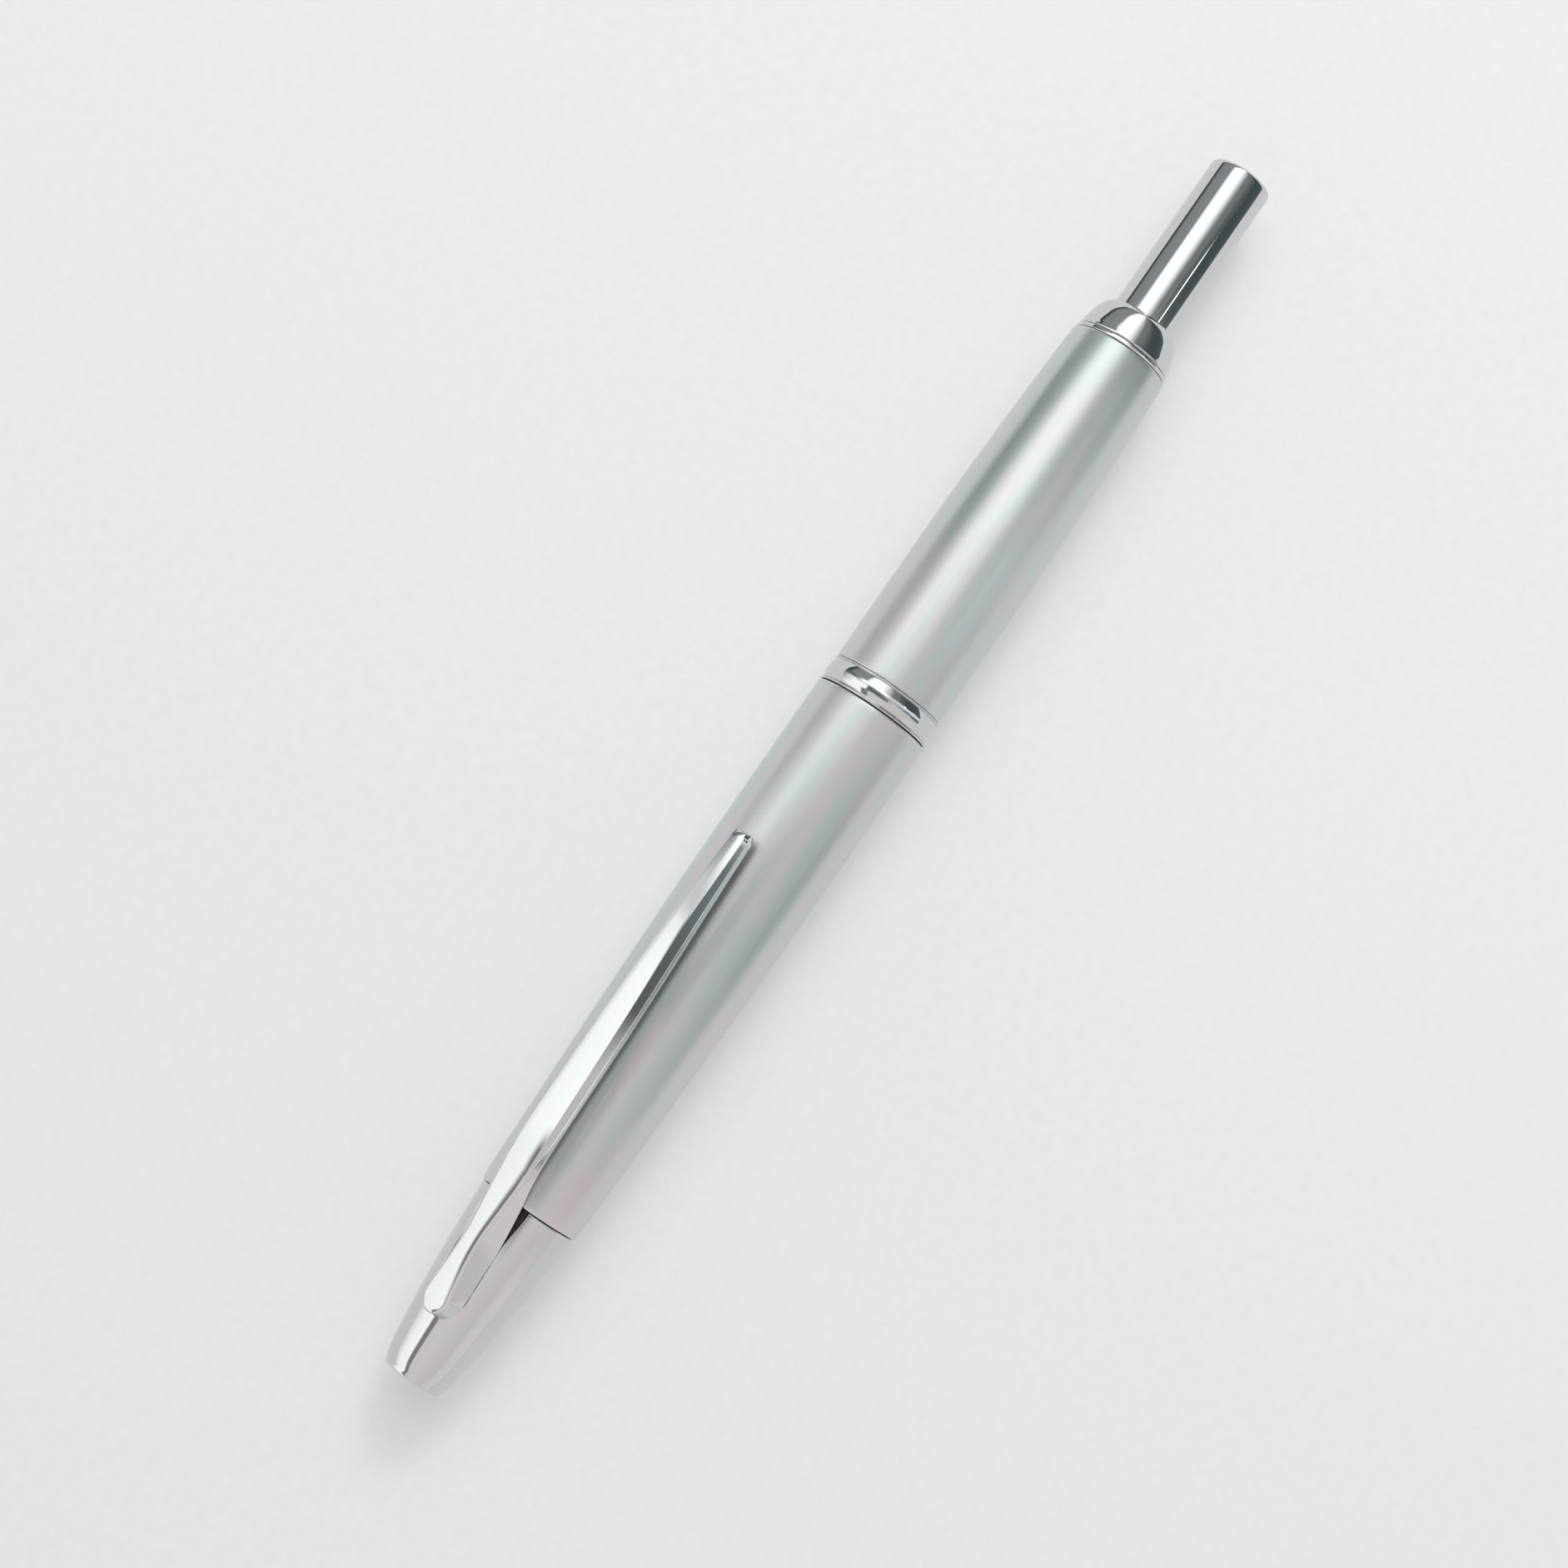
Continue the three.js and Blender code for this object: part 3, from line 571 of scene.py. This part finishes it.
def clip_outline(x):
    outline = [curve(x) for curve in clip_curves]
    outline[5] = clip_foot_height(x, outline[4], outline[5])
    return [x, *outline]


def narrowed(outline, x, top, lip, foot, fall):
    """The outline moved to x, with its top, lip and foot narrower and its top lower."""
    _, top_half, top_height, lip_half, lip_height, foot_half, foot_height = outline
    return [
        x, top_half - top, top_height - fall, lip_half - lip, lip_height - fall * 0.2,
        foot_half - foot, foot_height,
    ]


def clip_piece():
    stations = [CLIP_FRONT + CLIP_FRONT_ROUND * (1 - math.cos(k * math.pi / 20)) for k in range(11)]
    stations += evenly(stations[-1], 12, 26)[1:] + evenly(12, 25, 52)[1:]
    stations += evenly(25, CLIP_TOP_END - CLIP_END_ROUND, 70)[1:]
    outlines = [clip_outline(x) for x in stations]
    for k in range(1, 7):
        turn = k * math.pi / 12
        corner = 0.16 * (1 - math.cos(turn))
        x = CLIP_TOP_END - CLIP_END_ROUND * (1 - math.sin(turn))
        outlines.append(narrowed(clip_outline(x), x, corner, corner * 0.7, corner * 0.4, 0))
    end = outlines[-1]
    for k in range(1, 7):
        share = k / 6
        x = CLIP_TOP_END + (CLIP_END - CLIP_TOP_END) * math.sin(share * math.pi / 2)
        outlines.append(narrowed(end, x, 0.02 * share, 0.12 * share, 0.3 * share, 0.5 * share**1.5))
    sections = []
    for outline in outlines:
        points = clip_section(*outline)
        right = [(outline[0], y, z) for y, z in points]
        left = [(outline[0], -y, z) for y, z in reversed(points[1:-1])]
        sections.append(right + left)
    piece = swept_sections("clip_strip", sections, sharp=22)
    stands_for(piece, "clip", "clip_root", ride=False)
    end = PEN @ Vector((CLIP_BEND_END, 0, CLIP_PIVOT_HEIGHT))
    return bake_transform(piece)


def contact_pad_piece():
    """Small rounded pad under the clip's free end, which grips the cloth of a pocket."""
    start = 56.8
    length = 1.2
    half_width = 0.5
    half_height = 0.76
    middle = 6.85
    pad = []
    for k in range(13):
        across = k / 12
        size = math.sqrt(max(1 - (2 * across - 1) ** 4, 0.02))
        ring = []
        for j in range(20):
            turn = 2 * math.pi * j / 20
            y = half_width * size * math.sin(turn)
            ring.append((start + length * across, y, middle + half_height * size * math.cos(turn)))
        pad.append(ring)
    piece = swept_sections("clip_pad", pad)
    piece.data.materials.append(MATERIALS["chrome"])
    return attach(piece, "clip")


# ---- Rear section and knob -------------------------------------------------------------------


def band_waves(x, radius, angle):
    """Slight unevenness of the band's hand-polished crown."""
    middle = (BAND_START + BAND_END) / 2
    on_outside = radius > 5.7
    crown = max(1 - ((x - middle) / 1.1) ** 2, 0) if on_outside else 0
    place = Vector((x * 0.8, math.sin(angle) * 4, math.cos(angle) * 4))
    return crown * (0.022 * noise.noise(place) + 0.005 * noise.noise(place * 3))


def band_piece():
    top = BAND_RADIUS
    crown_start = BAND_START + 0.34
    crown_end = BAND_END - 0.19
    crown_middle = (crown_start + crown_end) / 2
    crown_half = (crown_end - crown_start) / 2
    crown_fall = 0.24
    crown = [
        (x, top - 0.02 - crown_fall * ((x - crown_middle) / crown_half) ** 2)
        for x in evenly(crown_start, crown_end, 30)
    ]
    outline = rounded([
        (BAND_START, 5.62, 0.03), (BAND_START, top - 0.1, 0.05), (BAND_START + 0.07, top - 0.03, 0.05),
        (BAND_START + 0.15, top - 0.03, 0.04), (BAND_START + 0.18, top - 0.24, 0.03),
        (BAND_START + 0.22, top - 0.24, 0.02), (BAND_START + 0.24, top - 0.12, 0.03),
        (BAND_START + 0.31, top - 0.14, 0.03), (BAND_START + 0.33, top - 0.28, 0.02),
        *crown,
        (BAND_END - 0.17, top - 0.28, 0.02), (BAND_END - 0.13, top - 0.15, 0.03),
        (BAND_END - 0.03, top - 0.13, 0.04), (BAND_END, top - 0.2, 0.03), (BAND_END, 5.62, 0.03),
    ])
    piece = turned("band_ring", outline, segments=288, radius_change=band_waves)
    return stands_for(piece, "centre_band")


def rear_barrel_piece():
    front = BAND_END + 0.05
    body = spline(
        [(front + 0.5, 5.83), (88, 5.835), (94.7, 5.83), (98.7, 5.785), (102.8, 5.695), (106.8, 5.59),
         (110.9, 5.465), (115, 5.325), (REAR_END - 0.6, 5.185)],
        steps=8,
    )
    spigot = BAND_START + 0.5
    outline = rounded([
        (spigot, 5.24), (spigot, 5.56, 0.1), (front, 5.56), (front, 5.79, 0.04), (front + 0.08, 5.83, 0.06),
        *body,
        (REAR_END - 0.12, 5.15, 0.1), (REAR_END, 5.04, 0.06), (REAR_END, 4.72),
        (113, 4.72), (104, 5.1), (98, 5.24),
    ])
    return stands_for(turned("rear_barrel_shell", outline, segments=192), "rear_barrel")


def trim_ring_piece():
    start = pen_x("trim_ring", 0)
    end = pen_x("trim_ring", 1)
    outline = rounded([
        (start, 4.7), (start, 5.03, 0.08), ((start + end) / 2, 5.05, 0.1), (end, 5.03, 0.08), (end, 4.7),
    ])
    return stands_for(turned("trim_hoop", outline, segments=192), "trim_ring")


def collar_piece():
    start = pen_x("trim_ring", 1) + 0.07
    body = spline(
        [(start + 0.45, 4.9), (120.1, 4.78), (121.1, 4.52), (121.75, 4.24), (122.12, 3.98),
         (COLLAR_END - 0.05, 3.72), (COLLAR_END, 3.5)],
        steps=8,
    )
    outline = rounded([
        (113.8, 4.05), (113.8, 4.63, 0.1), (start, 4.63), (start, 4.93, 0.06), (start + 0.2, 4.97, 0.1),
        *body,
        (COLLAR_END, 3.36, 0.03), (121, 3.36), (121, 4.05),
    ])
    return stands_for(turned("collar_shell", outline, segments=192), "rear_collar")


def knob_piece():
    rim = 0.62
    dome = 0.25
    corner = [
        (KNOB_END - dome - rim + rim * math.sin(a), KNOB_RADIUS - rim + rim * math.cos(a))
        for a in evenly(0, math.radians(84), 12)
    ]
    last = corner[-1]
    cap = [(KNOB_END - (KNOB_END - last[0]) * (r / last[1]) ** 2, r) for r in evenly(last[1], 0, 10)[1:]]
    tube = [(x, KNOB_RADIUS) for x in evenly(KNOB_FRONT + 1, KNOB_END - 2, 14)]
    outline = rounded([
        (KNOB_FRONT, 2.36, 0.05), (KNOB_FRONT, KNOB_RADIUS, 0.12), *tube, *corner, *cap,
        (KNOB_END - 3, 0), (KNOB_END - 3.2, 2.2, 0.3),
    ])
    return stands_for(turned("knob_shell", outline, segments=160), "knob")


# ---- Pieces inside ---------------------------------------------------------------------------


NIB_POINT = 6.05
NIB_END = 20
nib_radius = curve_function(
    [(NIB_POINT, 0.06), (6.3, 0.3), (7.5, 0.76), (9.5, 1.25), (12, 1.7), (14, 1.88), (NIB_END, 1.88)]
)


def nib_outer(x):
    return max(nib_radius(x), 0.03)


def nib_piece():
    """Two tines with a slit up to the breather hole, rolled over the feed."""
    hole_x = 12.6
    hole_radius = 0.35
    half_slit = 0.018

    def gap(x):
        if x > hole_x + hole_radius:
            return 0
        if x < hole_x - hole_radius:
            return half_slit
        return max(math.sqrt(max(hole_radius**2 - (x - hole_x) ** 2, 0)), half_slit)

    def inner(x):
        return max(nib_outer(x) - 0.22, nib_outer(x) * 0.3)

    stations = evenly(NIB_POINT, 12.2, 50)
    stations += [hole_x - hole_radius * math.cos(k * math.pi / 16) for k in range(17)]
    stations += evenly(13, NIB_END, 24)
    piece = slotted_shell(
        "nib_leaf", stations, nib_outer, inner, gap, math.radians(88), columns=26, edge=0.04
    )
    return stands_for(piece, "nib")


def feed_piece():
    """Tapered feed with fins along its lower half."""
    fin_depth = 0.42
    fin_pitch = 0.4
    below_nib = 0.31

    def fins(x, radius, angle):
        below = ease((-math.cos(angle) - 0.1) / 0.25)
        wave = 0.5 + 0.5 * math.cos(2 * math.pi * (x - 10.6) / fin_pitch)
        inside = 1 if 10.4 < x < 15 and radius > 0.9 else 0
        return -fin_depth * inside * below * ease((wave - 0.35) / 0.3)

    body = [(x, max(nib_outer(x) - below_nib, 0.02)) for x in evenly(8, 15.2, 180)]
    outline = [(7.9, 0), *body, (23, 1.57), (23, 0)]
    return stands_for(turned("feed_body", outline, segments=96, radius_change=fins), "feed")


def tube_piece(name, node, outline, **settings):
    return stands_for(turned(name, rounded(outline), **settings), node)


def thread_ridge(start, end, depth, pitch=1.0):
    """Radius change of a single-start thread between start and end, on the outside only."""

    def change(x, radius, angle):
        on_outside = radius >= 4.6
        if not on_outside or not start < x < end:
            return 0
        phase = (x / pitch - angle / (2 * math.pi)) % 1
        ridge = ease(abs(phase - 0.5) * 2 / 0.8)
        fade = ease((x - start) / 0.6) * ease((end - x) / 0.6)
        return -depth * ridge * fade

    return change


def thread_sleeve_piece():
    body = [(x, 4.75) for x in evenly(76.1, 83.6, 100)]
    outline = rounded([
        (61.6, 4.35), (61.6, 5.09, 0.1), (75.6, 5.09, 0.1), (75.9, 4.75), *body,
        (84, 4.45, 0.05), (84, 4.35),
    ])
    piece = turned("thread_tube", outline, segments=144, radius_change=thread_ridge(76.4, 83.6, 0.2))
    return stands_for(piece, "thread_sleeve")


def washer_piece():
    start = pen_x("barrel_washer", 0)
    end = pen_x("barrel_washer", 1)
    return tube_piece(
        "washer_ring", "barrel_washer",
        [(start, 4.85, 0.1), (start, 5.5, 0.12), (end, 5.5, 0.12), (end, 4.85, 0.1)],
    )


def trap_door_piece():
    """Dished oval lid with a raised rim, lying on its closed slope."""
    radius = 2.4
    half_width = 1.95
    outline = rounded([
        (0.1, 0), (0.1, radius * 0.7), (0.125, radius - 0.12, 0.06), (0.125, radius, 0.08),
        (-0.125, radius, 0.08), (-0.125, radius - 0.15, 0.06), (-0.04, radius - 0.35, 0.1), (-0.02, 0),
    ])
    lie_flat = Matrix.Rotation(math.radians(-90), 4, "Y")
    oval = Matrix.Diagonal((1, half_width / radius, 1, 1))
    slope = Matrix.Rotation(-DOOR_SLOPE, 4, "Y")
    from_hinge = Matrix.Translation((-DOOR_CENTRE, 0, 0))
    place = Matrix.Translation(DOOR_HINGE) @ slope @ from_hinge @ oval @ lie_flat
    return stands_for(turned("trap_door_lid", outline, segments=96, place=place), "shutter_door")


def spring_piece():
    """Coil with closed end turns."""
    turns = 12
    wire = 0.2
    coil_radius = 3.35
    around = 12
    steps = turns * 40
    vertices = []
    faces = []
    for i in range(steps + 1):
        share = i / steps
        angle = 2 * math.pi * turns * share
        spread = ease((share - 0.04) / 0.92)
        spread = 0.5 * spread + 0.5 * min(max((share - 0.08) / 0.84, 0), 1)
        x = SPRING_START + wire * share * 2 + (SPRING_END - SPRING_START - 2 * wire) * spread
        for k in range(around):
            turn = 2 * math.pi * k / around
            r = coil_radius + wire * math.cos(turn)
            vertices.append((x + wire * math.sin(turn), r * math.sin(angle), r * math.cos(angle)))
    for i in range(steps):
        for k in range(around):
            a = i * around + k
            b = i * around + (k + 1) % around
            faces.append([a, b, b + around, a + around])
    faces.append(list(range(around)))
    faces.append(list(range(len(vertices) - around, len(vertices))))
    piece = stands_for(build_object("spring_coil", vertices, faces), "return_spring")
    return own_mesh(piece)


def inner_tubes():
    tube_piece(
        "joint_tube", "joint_sleeve",
        [(14.6, 3.75, 0.05), (14.6, 4.2, 0.1), (NOSE_END, 4.2), (NOSE_END + 0.2, 4.5, 0.05),
         (26, 4.5, 0.1), (26, 3.75, 0.05)],
    )
    tube_piece(
        "spring_seat", "spring_stop", [(20, 3.12, 0.05), (20, 3.7, 0.1), (21, 3.7, 0.1), (21, 3.12, 0.05)]
    )
    tube_piece(
        "nib_holder", "nib_collar",
        [(15.5, 1.94, 0.04), (15.5, 2.2, 0.12), (17.6, 2.2), (17.75, 2.12), (17.9, 2.2), (23.9, 2.2, 0.1),
         (24.6, 2.9, 0.1), (27, 2.9, 0.05), (27, 1.94)],
    )
    tube_piece(
        "unit_tube", "unit_body",
        [(27.3, 0.6), (27.3, 2.9, 0.1), (43.6, 2.9, 0.1), (43.6, 3.9, 0.12), (45.4, 3.9, 0.12),
         (45.4, 1.1, 0.1), (48, 1.1, 0.2), (48, 0.6)],
    )
    tube_piece(
        "cartridge_shell", "ink_cartridge",
        [(46.2, 1.25, 0.05), (46.2, 1.9, 0.1), (49, 1.9, 0.3), (50, 3.3, 0.4), (86.2, 3.3, 0.3),
         (87.4, 2.8, 0.3), (91.5, 2.8, 0.4), (91.5, 0), (90.9, 0), (90.9, 2.4, 0.3), (86.8, 2.4),
         (85.8, 2.9), (50.4, 2.9), (49.4, 1.25)],
    )
    tube_piece(
        "cover_shell", "cartridge_cover",
        [(45.8, 3.45, 0.05), (45.8, 3.85, 0.1), (87.6, 3.85, 0.2), (88, 3.55, 0.2), (94.5, 3.55, 0.2),
         (95, 3.05, 0.2), (95, 0), (94.2, 0), (94.2, 3.15, 0.1), (87.7, 3.15), (87.3, 3.45)],
    )
    tube_piece(
        "bush_tube", "rear_thread_bush",
        [(BAND_START + 0.4, 4.78, 0.04), (BAND_START + 0.4, 5.17, 0.1), (85.7, 5.17, 0.1),
         (85.7, 4.78, 0.04)],
    )
    tube_piece(
        "knob_bearing", "knob_bush",
        [(113.9, 3.33, 0.04), (113.9, 3.97, 0.1), (120.8, 3.97, 0.1), (120.8, 3.33, 0.04)],
    )


nose_piece()
front_barrel_piece()
clip_piece()
contact_pad_piece()
band_piece()
rear_barrel_piece()
trim_ring_piece()
collar_piece()
knob_piece()
nib_piece()
feed_piece()
thread_sleeve_piece()
washer_piece()
trap_door_piece()
spring_piece()
inner_tubes()
for node, carried in frame["nodes"].items():
    if not carried.hide_render:
        carried.data.materials.clear()
        carried.data.materials.append(MATERIALS[SLOT_OF[node]])


# ---- Stage, light and camera -----------------------------------------------------------------


def floor():
    """Wide sheet of pale matt board."""
    finish = Finish("stage_board", Roughness=0.9)
    fibres = finish.stretched_noise((900, 900, 900), detail=3.0)
    patches = finish.stretched_noise((2.5, 2.5, 2.5), detail=1.0)
    share = finish.ranged(finish.sum(fibres, patches), 0.8, 1.2, 0, 1)
    finish.link(finish.mix_colour(share, (0.5, 0.5, 0.5), (0.525, 0.525, 0.525)), "Base Color")
    finish.shader.inputs["Specular IOR Level"].default_value = 0.15
    finish.shader.inputs["Emission Color"].default_value = (1, 1, 1, 1)
    finish.shader.inputs["Emission Strength"].default_value = 0.31
    finish.bump(fibres, distance=0.00002, strength=0.3)
    side = 4
    mesh = bpy.data.meshes.new("stage_floor")
    corners = [(-side, -side, 0), (side, -side, 0), (side, side, 0), (-side, side, 0)]
    mesh.from_pydata(corners, [], [(0, 1, 2, 3)])
    mesh.materials.append(finish.material)
    made = bpy.data.objects.new("stage_floor", mesh)
    bpy.context.scene.collection.objects.link(made)


def blend_levels(levels, degrees):
    """The colour at an angle, between the two nearest of a list of (angle, tint, level)."""
    before = levels[0]
    for entry in levels:
        if entry[0] >= degrees:
            break
        before = entry
    share = 0 if entry[0] == before[0] else (degrees - before[0]) / (entry[0] - before[0])
    share = min(max(share, 0), 1)
    return [
        c0 * before[2] * (1 - share) + c1 * entry[2] * share for c0, c1 in zip(before[1], entry[1])
    ]


def light_tent(columns, radius=0.6):
    """A half-round tent of glowing cloth over the pen, which only reflections see. Each column is
    a place along the pen with the tent's levels there, by angle from straight up: the near side
    is negative and the far side positive."""
    turns = range(-92, 93)
    vertices = []
    colours = []
    for x, levels in columns:
        for degrees in turns:
            turn = math.radians(degrees)
            vertices.append((x, radius * math.sin(turn), radius * math.cos(turn)))
            colours.append((*blend_levels(levels, degrees), 1))
    rows = len(turns)
    faces = [
        (i * rows + k, i * rows + k + 1, (i + 1) * rows + k + 1, (i + 1) * rows + k)
        for i in range(len(columns) - 1)
        for k in range(rows - 1)
    ]
    mesh = bpy.data.meshes.new("light_tent")
    mesh.from_pydata(vertices, [], faces)
    glow = mesh.color_attributes.new("glow", "FLOAT_COLOR", "POINT")
    for entry, colour in zip(glow.data, colours):
        entry.color = colour
    material = bpy.data.materials.new("light_tent")
    material.use_nodes = True
    tree = material.node_tree
    tree.nodes.clear()
    attribute = tree.nodes.new("ShaderNodeVertexColor")
    attribute.layer_name = "glow"
    emission = tree.nodes.new("ShaderNodeEmission")
    output = tree.nodes.new("ShaderNodeOutputMaterial")
    tree.links.new(attribute.outputs["Color"], emission.inputs["Color"])
    tree.links.new(emission.outputs[0], output.inputs["Surface"])
    mesh.materials.append(material)
    made = bpy.data.objects.new("light_tent", mesh)
    bpy.context.scene.collection.objects.link(made)
    made.visible_camera = False
    made.visible_diffuse = False
    made.visible_transmission = False
    made.visible_volume_scatter = False
    made.visible_shadow = False


def lamp(name, centre, size, radiance, aim=None):
    """A rectangular light facing down, or facing aim, that reflections do not see."""
    data = bpy.data.lights.new(name, "AREA")
    data.shape = "RECTANGLE"
    data.size, data.size_y = size
    data.energy = radiance * math.pi * size[0] * size[1]
    made = bpy.data.objects.new(name, data)
    made.visible_glossy = False
    made.location = centre
    if aim:
        made.rotation_euler = (Vector(aim) - Vector(centre)).to_track_quat("-Z", "Y").to_euler()
    bpy.context.scene.collection.objects.link(made)


# Levels on the tent: the angle from straight up in degrees, the tint and the brightness.
WHITE = (1, 1, 1)
COOL = (0.96, 1, 1.02)
TEAL = (0.8, 1, 1.06)
WARM = (1.06, 0.98, 0.97)
AT_NOSE = [
    (-90, WARM, 0.86), (-66, WARM, 0.84), (-55, WARM, 0.74), (-20, WARM, 0.8), (0, WARM, 0.84),
    (24, WARM, 0.82), (28, COOL, 0.3), (38, COOL, 0.28), (43, WHITE, 1.4), (72, WHITE, 1.3),
    (90, WHITE, 0.9),
]
AT_CLIP = [
    (-90, WARM, 0.72), (-60, WARM, 0.74), (-28, WARM, 0.82), (-20, WARM, 0.7), (-14, COOL, 0.22),
    (10, COOL, 0.18), (28, COOL, 0.2), (33, WHITE, 1.5), (60, WHITE, 1.45), (67, WHITE, 1.1),
    (90, WHITE, 0.6),
]
AT_FRONT_BARREL = [
    (-90, COOL, 0.15), (-72, COOL, 0.17), (-64, TEAL, 0.34), (-48, TEAL, 0.38), (-24, WARM, 0.7),
    (-8, COOL, 0.42), (3, COOL, 0.24), (12, COOL, 0.2), (27, COOL, 0.22), (34, WHITE, 1.35),
    (60, WHITE, 1.35), (67, WHITE, 1.02), (90, COOL, 0.5),
]
AT_CLIP_END = [
    (-90, COOL, 0.2), (-72, TEAL, 0.3), (-50, TEAL, 0.44), (-24, WARM, 0.66), (-6, COOL, 0.42),
    (6, WHITE, 0.54), (24, WHITE, 1.0), (38, WHITE, 0.86), (66, WHITE, 0.9), (90, COOL, 0.4),
]
AT_REAR_BARREL = [
    (-90, COOL, 0.95), (-50, COOL, 1.1), (-26, COOL, 0.84), (-15, WHITE, 0.9), (-4, WHITE, 1.65),
    (42, WHITE, 1.8), (52, COOL, 0.5), (64, TEAL, 0.2), (90, TEAL, 0.16),
]
AT_KNOB = [
    (-90, TEAL, 0.15), (-72, TEAL, 0.1), (-54, TEAL, 0.1), (-42, COOL, 0.15), (-30, COOL, 0.25),
    (-18, COOL, 0.27), (-11, COOL, 0.6), (-1, WHITE, 1.3), (9, WHITE, 1.7), (31, WHITE, 1.7),
    (37, WHITE, 1.2), (41, COOL, 0.36), (76, COOL, 0.32), (84, TEAL, 0.09), (90, TEAL, 0.08),
]
AT_KNOB_FRONT = [
    *AT_KNOB[:3], (-51, COOL, 0.2), (-49, WHITE, 4), (-47, COOL, 0.2), *AT_KNOB[3:],
]


def studio():
    world = bpy.data.worlds.new("studio")
    world.use_nodes = True
    world.node_tree.nodes["Background"].inputs["Color"].default_value = (0.52, 0.52, 0.525, 1)
    bpy.context.scene.world = world
    lamp("softbox", centre=(0.47, 0.14, 0.6), size=(0.86, 0.68), radiance=1.6)
    lamp("key", centre=(0.76, 0.14, 0.8), size=(0.26, 0.26), radiance=12, aim=(0, 0, 0))
    light_tent([
        (-6, AT_NOSE), (-0.18, AT_NOSE), (-0.13, AT_CLIP), (-0.05, AT_CLIP),
        (-0.02, AT_FRONT_BARREL), (0, AT_FRONT_BARREL),
        (0.04, AT_CLIP_END), (0.06, AT_CLIP_END), (0.1, AT_REAR_BARREL), (0.19, AT_REAR_BARREL),
        (0.204, AT_KNOB_FRONT), (0.222, AT_KNOB_FRONT), (0.23, AT_KNOB), (6, AT_KNOB),
    ])


def camera():
    """Looks down at the pen, with its nose at the lower left of the picture."""
    distance = 0.3379
    aim = Vector((-0.0041, 0.00302, AXIS_HEIGHT))
    back = Vector((-0.0840, -0.0612, 1)).normalized()
    up = Vector((0.8233, 0.5676, 0))
    up = (up - back * up.dot(back)).normalized()
    right = up.cross(back)
    data = bpy.data.cameras.new("camera")
    data.lens = 81.5
    data.sensor_width = 36
    data.clip_start = 0.01
    made = bpy.data.objects.new("camera", data)
    turn = Matrix((right, up, back)).transposed()
    made.matrix_world = Matrix.Translation(aim + back * distance) @ turn.to_4x4()
    bpy.context.scene.collection.objects.link(made)
    bpy.context.scene.camera = made


floor()
studio()
camera()
bpy.context.scene.view_settings.view_transform = "Standard"
